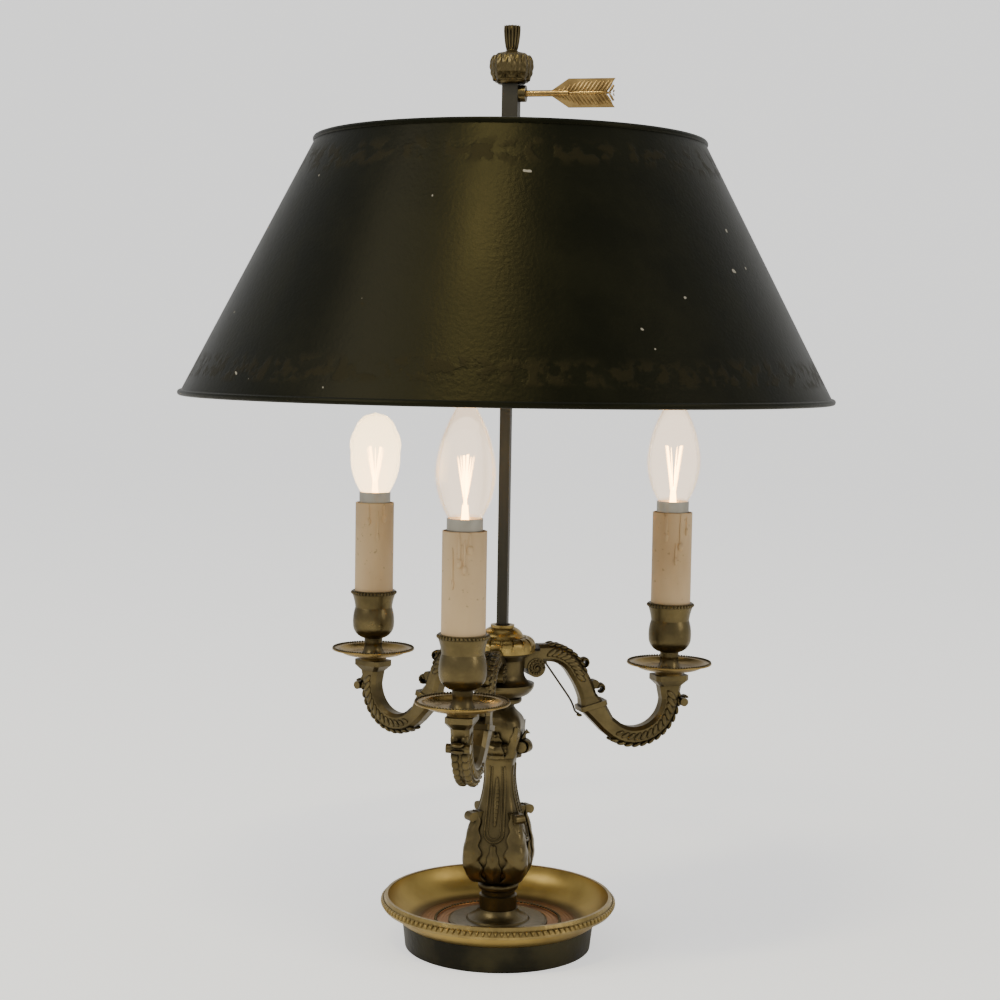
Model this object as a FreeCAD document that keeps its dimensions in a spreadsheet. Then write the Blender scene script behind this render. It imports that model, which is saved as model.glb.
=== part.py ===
import FreeCAD, Part
import math
import os
from types import SimpleNamespace

import Sketcher as Sketch

from FreeCAD import Placement, Rotation, Vector

# A bouillotte lamp: a brass dish on a foot, a cast stem, three candle arms, and a painted
# metal shade on a square slider that an arrow-shaped key locks to the square rod.
# Millimetres. Z is up, the origin is the middle of the foot on the table, and the front
# arm points along -Y.

doc = FreeCAD.newDocument("BouillotteLamp")

# Driving sizes: name, value, what it is.
SIZES = [
    # foot and dish
    ("foot_radius", 62.5, "outer radius of the foot where it stands"),
    ("foot_flare", 2.0, "how much wider the foot is at its top"),
    ("foot_wall", 3.1, "thickness of the foot wall"),
    ("plate_recess", 1.0, "how far the base plate is let into the foot wall"),
    ("plate_depth", 3.0, "height of the recess above the table"),
    ("seat_gap", 0.2, "slack between two pieces that seat on each other"),
    ("floor_height", 16.0, "height of the dish floor above the table"),
    ("dish_sheet", 1.5, "thickness of the dish"),
    ("floor_radius", 53.0, "radius of the flat dish floor"),
    ("lip_radius", 74.4, "inner radius of the dish at its lip"),
    ("lip_rise", 17.6, "height of the lip above the floor"),
    ("rim_drop", 7.1, "how far the leaf rim hangs below the lip"),
    ("rim_flat", 3.5, "width of the underside of the leaf rim"),
    ("rim_belly", 1.3, "how far the rim swells past its underside"),
    ("rim_belly_rise", 1.9, "height of the swell above the underside"),
    ("rim_cover", 0.6, "thickness of the rim over the dish edge"),
    ("rim_top_width", 2.0, "width of the top of the rim"),
    ("bead_ring_radius", 42.0, "middle radius of the beaded ring on the floor"),
    ("bead_ring_width", 2.4, "width of the beaded ring"),
    ("bead_ring_height", 1.0, "height of the beaded ring"),
    # inside the foot
    ("felt_lift", 0.5, "gap between the table and the felt"),
    ("felt_sheet", 1.4, "thickness of the felt"),
    ("plate_sheet", 1.0, "thickness of the base plate"),
    ("plate_gap", 0.2, "slack round the base plate"),
    ("ballast_clear", 3.0, "clearance between the ballast and the cord's bush"),
    ("ballast_height", 5.7, "thickness of the ballast disc"),
    ("washer_radius", 12.0, "radius of the washer under the ballast"),
    ("washer_sheet", 1.3, "thickness of the washer"),
    ("nut_flats", 17.0, "width across the flats of the base nut"),
    ("nut_height", 4.0, "height of the base nut"),
    ("tie_radius", 5.0, "outer radius of the threaded tie tube"),
    ("tie_bore", 3.25, "radius of the bore of the tie tube"),
    ("tie_slack", 0.1, "slack between the tie tube and what it passes through"),
    ("tie_below_nut", 0.2, "how far the tie tube shows below its nut"),
    ("inlet_height", 8.0, "height of the cord inlet above the table"),
    ("inlet_radius", 4.0, "radius of the inlet bush in the foot wall"),
    ("inlet_bore", 2.6, "radius of the hole for the cord"),
    ("inlet_flange", 6.0, "radius of the flange of the inlet bush"),
    ("inlet_flange_sheet", 1.5, "thickness of that flange"),
    ("inlet_tail", 2.5, "how far the bush reaches inside the foot wall"),
    # stem, from the dish floor up
    ("plinth_radius", 33.5, "radius of the plinth flange"),
    ("plinth_edge", 1.6, "thickness of the plinth flange"),
    ("plinth_step_radius", 21.5, "radius of the step on the plinth"),
    ("plinth_step", 1.1, "height of that step"),
    ("plinth_flare_height", 6.4, "height of the flare above the step"),
    ("plinth_neck", 13.2, "radius at the top of the flare"),
    ("plinth_collar_radius", 12.7, "radius of the plinth collar"),
    ("plinth_collar", 9.0, "height of the plinth collar"),
    ("plinth_throat_radius", 11.4, "radius of the throat above the collar"),
    ("plinth_throat", 3.9, "height of that throat"),
    ("ring_radius", 12.2, "radius of the stem ring at its edges"),
    ("ring_swell", 1.5, "how far the stem ring swells"),
    ("ring_height", 5.4, "height of the stem ring"),
    ("baluster_height", 83.6, "height of the baluster"),
    ("baluster_belly", 20.5, "half width of the baluster at its belly"),
    ("baluster_waist", 9.3, "half width of the baluster at its waist"),
    ("baluster_foot", 11.0, "half width of the baluster at its foot"),
    ("baluster_head", 10.3, "half width of the baluster at its head"),
    ("leaf_reach", 23.2, "distance of the corner leaf curls from the axis"),
    ("leaf_curl", 3.2, "radius of a corner leaf curl"),
    ("leaf_width", 7.0, "width of a corner leaf"),
    ("capital_height", 35.7, "height of the stem capital"),
    ("capital_belly", 15.0, "half width of the capital at its belly"),
    ("capital_neck", 8.8, "radius at the top of the capital"),
    ("capital_curl", 3.6, "radius of the drooping leaf curls of the capital"),
    ("capital_curl_width", 15.0, "width of those curls"),
    ("capital_curl_reach", 15.4, "distance of those curls from the axis"),
    ("collar_height", 7.0, "height of the hub collar"),
    ("collar_radius", 12.6, "radius of the hub collar at its edges"),
    ("collar_swell", 1.3, "how far the hub collar swells"),
    ("collar_neck", 2.6, "height of the neck under the collar ring"),
    # hub
    ("drum_height", 30.3, "height of the hub drum"),
    ("drum_radius", 15.0, "radius of the hub drum at its waist"),
    ("drum_flare", 21.9, "radius of the edge of the drum's lower flare"),
    ("drum_flare_rise", 7.0, "height of that edge above the bottom of the drum"),
    ("drum_flare_edge", 1.8, "thickness of that edge"),
    ("drum_head", 19.0, "radius of the drum under the cap"),
    ("drum_head_height", 1.6, "height of the drum head"),
    ("cap_radius", 22.2, "radius of the cap under its gadroons"),
    ("cap_shoulder", 16.4, "radius of the cap inside its gadroons"),
    ("cap_shoulder_rise", 9.6, "height of that shoulder"),
    ("cap_height", 17.8, "height of the hub cap"),
    ("cap_crown", 8.0, "radius of the flat top of the cap"),
    ("gadroon_inner", 17.0, "distance of the gadroons' inner ends from the axis"),
    ("gadroon_groove", 1.6, "half width of the grooves between the gadroons"),
    ("gadroon_root", 2.2, "height of the foot of a groove above the drum"),
    ("gadroon_rise", 4.8, "height of the widest part of the gadroons above the drum"),
    ("stud_radius", 3.0, "radius of the studs that hold the arms"),
    ("stud_length", 14.0, "length of those studs"),
    ("stud_inner", 8.0, "distance of the studs' inner ends from the axis"),
    ("stud_slack", 0.05, "slack round the studs"),
    # arms
    ("arm_reach", 122.0, "distance of a candle from the axis"),
    ("arm_width", 11.5, "width of an arm"),
    ("arm_depth", 11.8, "depth of an arm"),
    ("arm_edge", 2.4, "width of the chamfers along an arm"),
    ("arm_head_drop", 20.7, "height of the drum's top above the top of an arm"),
    ("arm_lift", 2.0, "height of the arm's middle below the top of the drum"),
    ("arm_start", 25.0, "where the free arm starts, from the axis"),
    ("arm_straight", 6.0, "length of the level run at the start"),
    ("arm_bend", 24.0, "radius of the arm's first bend"),
    ("arm_drop_angle", 57.0, "steepness after the first bend"),
    ("arm_drop", 5.9, "length of the straight drop"),
    ("arm_sweep", 60.0, "radius of the gentle bend down to the collar"),
    ("arm_collar_angle", 76.0, "steepness at the collar"),
    ("arm_collar_drop", 3.8, "how far the collar lies past the end of the sweep"),
    ("arm_collar_in", 8.1, "reach of the collar on its inner side"),
    ("arm_collar_out", 11.3, "reach of the collar on its outer side"),
    ("arm_collar_width", 14.4, "width of the collar"),
    ("arm_collar_sheet", 3.4, "thickness of the collar"),
    ("volute_radius", 6.3, "radius of the volute under the arm's root"),
    ("volute_reach", 22.5, "distance of the volute from the axis"),
    ("volute_drop", 11.6, "how far the volute lies below the top of the drum"),
    ("volute_width", 13.0, "width of the volute"),
    ("root_gap", 0.3, "gap between the arm's root and the cap"),
    ("scroll_radius", 25.7, "radius of the lower scroll"),
    ("scroll_height", 15.6, "height of the capital and neck above the scroll"),
    ("scroll_turn", 128.0, "how far the lower scroll turns"),
    ("scroll_tail", 6.0, "length of the scroll's tail towards the collar"),
    ("scroll_depth", 12.4, "depth of the lower scroll"),
    ("neck_depth", 16.0, "depth of the arm under its capital"),
    ("neck_width", 12.0, "width of the arm under its capital"),
    ("neck_height", 9.0, "height of that neck"),
    ("head_depth", 24.0, "depth of the arm's capital"),
    ("head_width", 17.2, "width of the arm's capital"),
    ("head_edge", 3.6, "height of the capital's edge"),
    ("head_flare", 4.0, "height of the capital's flare"),
    ("knob_radius", 3.1, "radius of the knob above the collar"),
    ("knob_rise", 11.0, "height of the knob above the collar"),
    ("outer_curl", 2.9, "radius of the leaf curl under the capital"),
    ("outer_curl_width", 15.0, "width of that curl"),
    ("outer_curl_drop", 18.8, "how far that curl lies below the arm's top"),
    # drip pans, candle cups and candles
    ("nipple_radius", 4.8, "radius of the threaded nipple in an arm"),
    ("nipple_bore", 3.0, "radius of its bore"),
    ("nipple_depth", 8.0, "how deep the nipple goes into the arm"),
    ("pan_seat_radius", 9.6, "radius of the drip pan's seat"),
    ("pan_seat", 3.7, "height of the drip pan's seat"),
    ("pan_sheet", 1.2, "thickness of the drip pan"),
    ("pan_floor", 15.0, "radius of the flat floor of the drip pan"),
    ("pan_well", 24.6, "radius of the well of the drip pan"),
    ("pan_radius", 28.8, "outer radius of the drip pan"),
    ("pan_well_rise", 3.2, "height of the well's edge above its floor"),
    ("pan_rim_rise", 0.5, "height of the rim above the well's edge"),
    ("cup_neck", 6.4, "radius of the neck of the candle cup"),
    ("cup_neck_height", 10.8, "height of that neck"),
    ("cup_belly", 14.6, "radius of the cup's belly"),
    ("cup_belly_rise", 9.6, "height of the belly above the neck"),
    ("cup_waist", 13.1, "radius of the cup's waist"),
    ("cup_waist_rise", 12.4, "height of the waist above the belly"),
    ("cup_rim", 15.2, "radius of the cup's rim"),
    ("cup_rim_rise", 9.2, "height of the rim's lower edge above the waist"),
    ("cup_rim_edge", 3.0, "height of the rim band"),
    ("candle_radius", 13.6, "outer radius of the candle sleeve"),
    ("candle_wall", 1.2, "wall of the candle sleeve"),
    ("candle_seat", 4.4, "how deep the candle sleeve sits in the cup"),
    ("candle_height", 67.0, "height of the candle sleeve"),
    ("candle_slack", 0.1, "slack between the candle sleeve and the cup"),
    ("holder_radius", 12.2, "outer radius of the lampholder"),
    ("holder_wall", 0.9, "wall of the lampholder"),
    ("holder_base", 4.0, "thickness of the lampholder's base"),
    ("holder_lift", 6.0, "height of the lampholder above the candle's foot"),
    ("holder_drop", 1.5, "how far the lampholder ends below the candle's top"),
    ("bulb_cap_radius", 11.0, "radius of the bayonet cap"),
    ("bulb_cap_height", 24.0, "height of the bayonet cap"),
    ("bulb_cap_show", 7.4, "how far the cap stands out of the candle sleeve"),
    ("bulb_radius", 18.4, "radius of a flame bulb"),
    ("bulb_height", 81.0, "height of a flame bulb's glass"),
    ("round_bulb_radius", 17.4, "radius of the shorter bulb"),
    ("round_bulb_height", 56.0, "height of the shorter bulb's glass"),
    ("bulb_neck", 10.2, "radius of a bulb's neck"),
    ("bulb_wall", 0.8, "wall of a bulb"),
    ("bulb_slack", 0.05, "slack between a bulb's neck and its cap"),
    ("filament_radius", 0.6, "radius of a filament"),
    ("filament_height", 30.0, "height of the filaments"),
    ("filament_spread", 6.0, "spread of the filaments at their top"),
    ("stem_radius", 3.0, "radius of the glass stem in a bulb"),
    ("stem_height", 20.0, "height of the glass stem in a bulb"),
    # rod and finial
    ("rod_side", 7.0, "side of the square rod"),
    ("rod_height", 367.4, "height of the square rod"),
    ("rod_start", 10.0, "height of the rod's foot above the drum"),
    ("rod_spigot", 12.0, "length of the round spigot under the rod"),
    ("spigot_slack", 0.1, "slack between the spigot and the tie tube"),
    ("finial_grip", 3.6, "how far the rod goes into the finial"),
    ("finial_base", 11.2, "radius of the finial's leaf cup at its foot"),
    ("finial_belly", 14.2, "radius of the leaf cup"),
    ("finial_belly_rise", 12.4, "height of the widest part of the cup"),
    ("finial_cup", 21.0, "height of the leaf cup"),
    ("plume_foot", 4.3, "radius of the plume at its foot"),
    ("plume_belly", 5.6, "radius of the plume"),
    ("plume_height", 17.0, "height of the plume"),
    ("plume_rise", 11.0, "height of the plume's widest part"),
    # slider, shade and key
    ("slider_side", 10.5, "outer side of the square slider"),
    ("slider_slack", 0.15, "slack between the slider and the rod, each side"),
    ("slider_height", 80.0, "height of the slider"),
    ("slider_gap", 0.4, "gap between the slider and the finial"),
    ("key_drop", 5.8, "how far the key lies below the top of the slider"),
    ("key_boss_radius", 5.4, "radius of the boss that takes the key"),
    ("key_boss", 4.6, "thickness of that boss"),
    ("key_radius", 2.1, "radius of the key's shank"),
    ("key_slack", 0.1, "slack round the key's shank"),
    ("key_feathers", 27.0, "where the feathers start, from the axis"),
    ("key_shoulder", 38.0, "where the feathers are full, from the axis"),
    ("key_notch", 62.0, "bottom of the notch of the feathers, from the axis"),
    ("key_length", 68.4, "end of the feathers, from the axis"),
    ("feather_height", 9.3, "half height of the feathers"),
    ("feather_sheet", 1.8, "thickness of the feathers"),
    ("shade_top_radius", 129.0, "outer radius of the shade's top edge"),
    ("shade_bottom_radius", 215.0, "outer radius of the shade's bottom edge"),
    ("shade_height", 168.8, "height of the shade"),
    ("shade_below_slider", 36.3, "how far the shade's top lies below the slider's top"),
    ("shade_sheet", 0.6, "thickness of the shade"),
    ("hem_radius", 2.0, "radius of the rolled edges of the shade"),
    ("sheet_slack", 0.12, "slack between the shade's sheet and the hems' grooves"),
    ("band_height", 10.0, "height of the spider's band"),
    ("band_sheet", 1.2, "thickness of the band"),
    ("band_drop", 4.0, "how far the band lies below the shade's top"),
    ("spoke_width", 6.0, "width of a spoke"),
    ("spoke_sheet", 2.0, "thickness of a spoke"),
    ("spider_hub", 11.0, "radius of the spider's hub"),
    ("spider_hub_height", 8.0, "height of the spider's hub"),
    # the lead on the right arm
    ("lead_start", 30.4, "where the lead leaves the underside of the arm"),
    ("lead_gap", 0.05, "gap between the lead's ends and the arm"),
    ("lead_steep", 54.3, "how steeply the lead runs down"),
    ("lead_straight", 29.3, "length of the straight of the lead"),
    ("lead_bend", 36.0, "radius of the lead's upper bend"),
    ("lead_hook", 4.5, "radius of the lead's lower bend"),
    ("lead_drop_angle", 72.0, "how steeply the lead runs between its bends"),
    ("lead_end_angle", 12.0, "how steeply the lead meets the arm"),
    ("lead_radius", 0.7, "radius of the bare lead on the right arm"),
]
ARM_ANGLES = {"front": -90.0, "right": 30.0, "left": 150.0}
GADROONS = 18
SPOKE_ANGLES = (90.0, 210.0, 330.0)


class Size:
    """A number that carries the spreadsheet formula it was worked out with."""

    def __init__(self, value, text=None):
        self.value = float(value)
        self.text = text or f"{float(value):.9g}"

    def join(self, other, sign, value):
        return Size(value, f"({self.text} {sign} {other.text})")

    def __add__(self, other):
        other = sized(other)
        return self.join(other, "+", self.value + other.value)

    def __sub__(self, other):
        other = sized(other)
        return self.join(other, "-", self.value - other.value)

    def __mul__(self, other):
        other = sized(other)
        return self.join(other, "*", self.value * other.value)

    def __truediv__(self, other):
        other = sized(other)
        return self.join(other, "/", self.value / other.value)

    def __radd__(self, other):
        return sized(other) + self

    def __rsub__(self, other):
        return sized(other) - self

    def __rmul__(self, other):
        return sized(other) * self

    def __neg__(self):
        return Size(-self.value, f"(0 - {self.text})")


def sized(number):
    return number if isinstance(number, Size) else Size(number)


def root(size):
    return Size(math.sqrt(size.value), f"sqrt({size.text})")


def sine(degrees):
    degrees = sized(degrees)
    return Size(math.sin(math.radians(degrees.value)), f"sin({degrees.text} * 1 deg)")


def cosine(degrees):
    degrees = sized(degrees)
    return Size(math.cos(math.radians(degrees.value)), f"cos({degrees.text} * 1 deg)")


# The spreadsheet of driving sizes, and a second one for the heights worked out from them.
sheet = doc.addObject("Spreadsheet::Sheet", "Sizes")
given = SimpleNamespace()
for row, (alias, value, note) in enumerate(SIZES, start=1):
    sheet.set(f"A{row}", alias)
    sheet.set(f"B{row}", str(value))
    sheet.set(f"C{row}", note)
    sheet.setAlias(f"B{row}", alias)
    setattr(given, alias, Size(value, f"Sizes.{alias}"))
levels = doc.addObject("Spreadsheet::Sheet", "Levels")
level_count = 0


def level(alias, size):
    """Keep a worked-out size as a named cell, and return it."""
    global level_count
    level_count += 1
    levels.set(f"A{level_count}", alias)
    levels.set(f"B{level_count}", "=" + size.text)
    levels.setAlias(f"B{level_count}", alias)
    return Size(size.value, f"Levels.{alias}")


parts = []


def new_body(label):
    body = doc.addObject("PartDesign::Body", label)
    body.Label = label
    parts.append(body)
    return body


def origin_part(body, role):
    return next(item for item in body.Origin.OriginFeatures if item.Role == role)


def bind(thing, path, size):
    thing.setExpression(path, sized(size).text)


def new_sketch(body, role, name, lift=0, tilt=None, shift=0):
    """A sketch on an origin plane, lifted along its normal; a tilt turns it about Y."""
    sketch = body.newObject("Sketcher::SketchObject", f"{body.Label}_{name}")
    sketch.AttachmentSupport = [(origin_part(body, role), "")]
    sketch.MapMode = "FlatFace"
    if tilt is not None:
        sketch.AttachmentOffset = Placement(Vector(), Rotation(Vector(0, 1, 0), 1))
        bind(sketch, "AttachmentOffset.Rotation.Angle", tilt)
    bind(sketch, "AttachmentOffset.Base.x", shift)
    bind(sketch, "AttachmentOffset.Base.z", lift)
    return sketch


def draw(sketch, corners, closed=True):
    """Lines and arcs through corners (x, y) or (x, y, bulge). A bulge makes the edge to the
    next corner an arc that stands that far out, to the left of the way along the outline."""
    corners = [(sized(c[0]), sized(c[1]), sized(c[2]) if len(c) > 2 else None) for c in corners]
    count = len(corners)
    joints = []
    radii = []
    for i in range(count if closed else count - 1):
        x0, y0, bulge = corners[i]
        x1, y1, _ = corners[(i + 1) % count]
        start = Vector(x0.value, y0.value, 0)
        end = Vector(x1.value, y1.value, 0)
        if bulge is None:
            sketch.addGeometry(Part.LineSegment(start, end), False)
            joints.append((1, 2))
            continue
        half = root((x1 - x0) * (x1 - x0) + (y1 - y0) * (y1 - y0)) / 2
        depth = Size(abs(bulge.value), f"abs({bulge.text})")
        radius = (half * half + depth * depth) / (2 * depth)
        along = (end - start).normalize()
        left = Vector(-along.y, along.x, 0)
        side = 1 if bulge.value > 0 else -1
        centre = (start + end) * 0.5 + left * side * (depth.value - radius.value)
        first, last = (end, start) if side > 0 else (start, end)
        a0 = math.atan2(first.y - centre.y, first.x - centre.x)
        a1 = math.atan2(last.y - centre.y, last.x - centre.x)
        if a1 < a0:
            a1 += 2 * math.pi
        circle = Part.Circle(centre, Vector(0, 0, 1), radius.value)
        sketch.addGeometry(Part.ArcOfCircle(circle, a0, a1), False)
        joints.append((2, 1) if side > 0 else (1, 2))
        radii.append((i, radius))
    rules = []
    for i in range(len(joints) if closed else len(joints) - 1):
        following = (i + 1) % len(joints)
        join = Sketch.Constraint("Coincident", i, joints[i][1], following, joints[following][0])
        rules.append((join, None))
    for i, (x, y, _) in enumerate(corners):
        edge, end = (i, joints[i][0]) if i < len(joints) else (i - 1, joints[i - 1][1])
        for kind, size in (("DistanceX", x), ("DistanceY", y)):
            rules.append((Sketch.Constraint(kind, -1, 1, edge, end, size.value), size))
    for i, radius in radii:
        rules.append((Sketch.Constraint("Radius", i, radius.value), radius))
    for rule, size in rules:
        number = sketch.addConstraint(rule)
        if size is not None:
            sketch.setExpression(f"Constraints[{number}]", size.text)
    return sketch


def draw_circle(sketch, radius, x=0, y=0):
    x, y, radius = sized(x), sized(y), sized(radius)
    centre = Vector(x.value, y.value, 0)
    edge = sketch.addGeometry(Part.Circle(centre, Vector(0, 0, 1), radius.value), False)
    for rule, size in (
        (Sketch.Constraint("DistanceX", -1, 1, edge, 3, x.value), x),
        (Sketch.Constraint("DistanceY", -1, 1, edge, 3, y.value), y),
        (Sketch.Constraint("Radius", edge, radius.value), radius),
    ):
        number = sketch.addConstraint(rule)
        sketch.setExpression(f"Constraints[{number}]", size.text)
    return sketch


def rectangle(x0, x1, y0, y1):
    return [(x0, y0), (x1, y0), (x1, y1), (x0, y1)]


def chamfered(x0, x1, half, edge):
    """An eight-sided section between x0 and x1, with its corners cut by edge."""
    return [
        (x0 + edge, -half),
        (x1 - edge, -half),
        (x1, -half + edge),
        (x1, half - edge),
        (x1 - edge, half),
        (x0 + edge, half),
        (x0, half - edge),
        (x0, -half + edge),
    ]


def turned(label, corners):
    """A body turned about Z from its outline of (radius, height) corners."""
    body = new_body(label)
    turn(body, corners)
    return body


def turn(body, corners, name="outline"):
    sketch = draw(new_sketch(body, "XZ_Plane", name), corners)
    feature = body.newObject("PartDesign::Revolution", f"{body.Label}_{name}_turned")
    feature.Profile = sketch
    feature.ReferenceAxis = (sketch, ["V_Axis"])
    feature.Angle = 360
    return feature


def pad(body, sketch, length, both_sides=False, down=False):
    feature = body.newObject("PartDesign::Pad", f"{sketch.Label}_pad")
    feature.Profile = sketch
    bind(feature, "Length", length)
    feature.Midplane = both_sides
    feature.Reversed = down
    return feature


def pocket(body, sketch, length, both_sides=False, back=False):
    feature = body.newObject("PartDesign::Pocket", f"{sketch.Label}_cut")
    feature.Profile = sketch
    bind(feature, "Length", length)
    feature.Midplane = both_sides
    feature.Reversed = back
    return feature


def loft(body, first, *others):
    feature = body.newObject("PartDesign::AdditiveLoft", f"{first.Label}_loft")
    feature.Profile = first
    feature.Sections = list(others)
    feature.Ruled = True
    return feature


def repeat(body, feature, count):
    pattern = body.newObject("PartDesign::PolarPattern", f"{feature.Label}_round")
    pattern.Originals = [feature]
    pattern.Axis = (origin_part(body, "Z_Axis"), [""])
    pattern.Angle = 360
    pattern.Occurrences = count
    body.Tip = pattern
    return pattern


def place(body, angle, reach=0, height=0):
    """Turn a body about Z and carry it out along that direction."""
    body.Placement = Placement(Vector(), Rotation(Vector(0, 0, 1), angle))
    reach = sized(reach)
    bind(body, "Placement.Base.x", reach * cosine(angle))
    bind(body, "Placement.Base.y", reach * sine(angle))
    bind(body, "Placement.Base.z", height)


# The dish: spun brass, a flat floor and a wall that curves up to the lip. The wall's arc
# leaves the floor level, so its radius follows from the lip.
g = given
wall_run = g.lip_radius - g.floor_radius
wall_arc = level("wall_arc", (wall_run * wall_run + g.lip_rise * g.lip_rise) / (2 * g.lip_rise))
wall_centre = level("wall_centre", g.floor_height + wall_arc)
outer_arc = wall_arc + g.dish_sheet
lip_height = level("lip_height", g.floor_height + g.lip_rise)
outer_lip_radius = level("outer_lip_radius", g.floor_radius + wall_run * outer_arc / wall_arc)
outer_lip_height = level(
    "outer_lip_height", wall_centre - (wall_arc - g.lip_rise) * outer_arc / wall_arc
)
tie_hole = level("tie_hole", g.tie_radius + g.tie_slack)


def arc_bulge(radius, width, height):
    half = root(width * width + height * height) / 2
    return radius - root(radius * radius - half * half)


inner_bulge = arc_bulge(wall_arc, wall_run, g.lip_rise)
under_floor = level("under_floor", g.floor_height - g.dish_sheet)
outer_bulge = arc_bulge(outer_arc, outer_lip_radius - g.floor_radius, outer_lip_height - under_floor)
turned("base_dish", [
    (tie_hole, g.floor_height),
    (g.floor_radius, g.floor_height, -inner_bulge),
    (g.lip_radius, lip_height),
    (outer_lip_radius, outer_lip_height, outer_bulge),
    (g.floor_radius, under_floor),
    (tie_hole, under_floor),
])


def dish_underside(radius):
    """Height of the dish's underside at a radius beyond its flat floor."""
    run = radius - g.floor_radius
    return wall_centre - root(outer_arc * outer_arc - run * run)


def dish_outside(height):
    """Radius of the outside of the dish's wall at a height."""
    fall = wall_centre - height
    return g.floor_radius + root(outer_arc * outer_arc - fall * fall)


# The leaf rim: a cast ring that caps the dish's edge and hangs over the foot.
rim_low = level("rim_low", lip_height - g.rim_drop)
rim_under = level("rim_under", dish_outside(rim_low) + 2 * g.seat_gap)
rim_seat = lip_height + g.seat_gap / 4
turned("leaf_rim", [
    (rim_under, rim_low),
    (rim_under + g.rim_flat, rim_low),
    (rim_under + g.rim_flat + g.rim_belly, rim_low + g.rim_belly_rise),
    (g.lip_radius + g.rim_top_width, rim_seat + g.rim_cover),
    (g.lip_radius, rim_seat + g.rim_cover),
    (g.lip_radius, rim_seat),
    (outer_lip_radius + g.seat_gap * 2, rim_seat),
])

# The foot: a plain drum that carries the dish, open below and recessed for its base plate.
foot_inner = level("foot_inner", g.foot_radius - g.foot_wall)
foot_head = level("foot_head", g.foot_radius + g.foot_flare)
foot_ring = turned("foot_ring", [
    (foot_inner + g.plate_recess, 0),
    (g.foot_radius, 0),
    (foot_head, dish_underside(foot_head) - g.seat_gap),
    (foot_inner, dish_underside(foot_inner) - g.seat_gap),
    (foot_inner, g.plate_depth),
    (foot_inner + g.plate_recess, g.plate_depth),
])
inlet_hole = new_sketch(foot_ring, "XZ_Plane", "inlet")
draw_circle(inlet_hole, g.inlet_radius + g.seat_gap / 4, 0, g.inlet_height)
pocket(foot_ring, inlet_hole, 2 * g.foot_radius, back=False)

# The inlet bush at the back of the foot, where the mains cord enters. Its own Z points
# back, away from the lamp.
wall_out = level("wall_out", foot_head + g.seat_gap)
bush = turned("inlet_bush", [
    (g.inlet_bore, foot_inner - g.inlet_tail),
    (g.inlet_radius, foot_inner - g.inlet_tail),
    (g.inlet_radius, wall_out),
    (g.inlet_flange, wall_out),
    (g.inlet_flange, wall_out + g.inlet_flange_sheet),
    (g.inlet_bore, wall_out + g.inlet_flange_sheet),
])
bush.Placement = Placement(Vector(), Rotation(Vector(1, 0, 0), -90))
bind(bush, "Placement.Base.z", g.inlet_height)

# Inside the foot: ballast, washer and nut on the tie tube, then base plate and felt.
plate_top = level("plate_top", g.plate_depth - g.seat_gap / 4)
plate_low = level("plate_low", plate_top - g.plate_sheet)
plate_radius = foot_inner + g.plate_recess - g.plate_gap
turned("base_plate", [(0, plate_low), (plate_radius, plate_low), (plate_radius, plate_top), (0, plate_top)])
felt_radius = plate_radius - g.plate_gap
turned("felt_pad", [
    (0, g.felt_lift), (felt_radius, g.felt_lift), (felt_radius, plate_low), (0, plate_low),
])
ballast_radius = foot_inner - g.inlet_tail - g.ballast_clear
ballast_low = level("ballast_low", under_floor - g.ballast_height)
turned("ballast_disc", [
    (tie_hole, ballast_low),
    (ballast_radius, ballast_low),
    (ballast_radius, under_floor),
    (tie_hole, under_floor),
])
washer_low = level("washer_low", ballast_low - g.washer_sheet)
turned("base_washer", [
    (tie_hole, washer_low),
    (g.washer_radius, washer_low),
    (g.washer_radius, ballast_low),
    (tie_hole, ballast_low),
])
nut_low = level("nut_low", washer_low - g.nut_height)
nut = new_body("base_nut")
nut_corner = g.nut_flats / cosine(30) / 2
nut_outline = new_sketch(nut, "XY_Plane", "hexagon", lift=nut_low)
draw(nut_outline, [(nut_corner * cosine(60 * i), nut_corner * sine(60 * i)) for i in range(6)])
draw_circle(nut_outline, tie_hole)
pad(nut, nut_outline, g.nut_height)

# The beaded ring that lies on the dish floor round the plinth.
bead_inner = g.bead_ring_radius - g.bead_ring_width / 2
bead_outer = g.bead_ring_radius + g.bead_ring_width / 2
turned("floor_ring", [
    (bead_inner, g.floor_height), (bead_outer, g.floor_height, -g.bead_ring_height),
])

# The stem, piece on piece along the tie tube. The plinth flares out over the dish floor.
step_low = g.floor_height + g.plinth_edge
step_top = step_low + g.plinth_step
collar_low = step_top + g.plinth_flare_height
plinth_top = level("plinth_top", collar_low + g.plinth_collar + g.plinth_throat)
turned("stem_plinth", [
    (tie_hole, g.floor_height),
    (g.plinth_radius, g.floor_height),
    (g.plinth_radius, g.floor_height + g.plinth_edge * 0.6),
    (g.plinth_radius - g.plinth_edge, step_low),
    (g.plinth_step_radius, step_low),
    (g.plinth_step_radius - g.plinth_step, step_top, g.plinth_flare_height * 0.2),
    (g.plinth_neck, collar_low),
    (g.plinth_collar_radius, collar_low),
    (g.plinth_collar_radius, collar_low + g.plinth_collar),
    (g.plinth_throat_radius, collar_low + g.plinth_collar + g.plinth_throat / 4),
    (g.plinth_throat_radius, plinth_top),
    (tie_hole, plinth_top),
])
ring_top = level("ring_top", plinth_top + g.ring_height)
turned("stem_ring", [
    (tie_hole, plinth_top),
    (g.ring_radius, plinth_top, -g.ring_swell),
    (g.ring_radius, ring_top),
    (tie_hole, ring_top),
])


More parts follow.
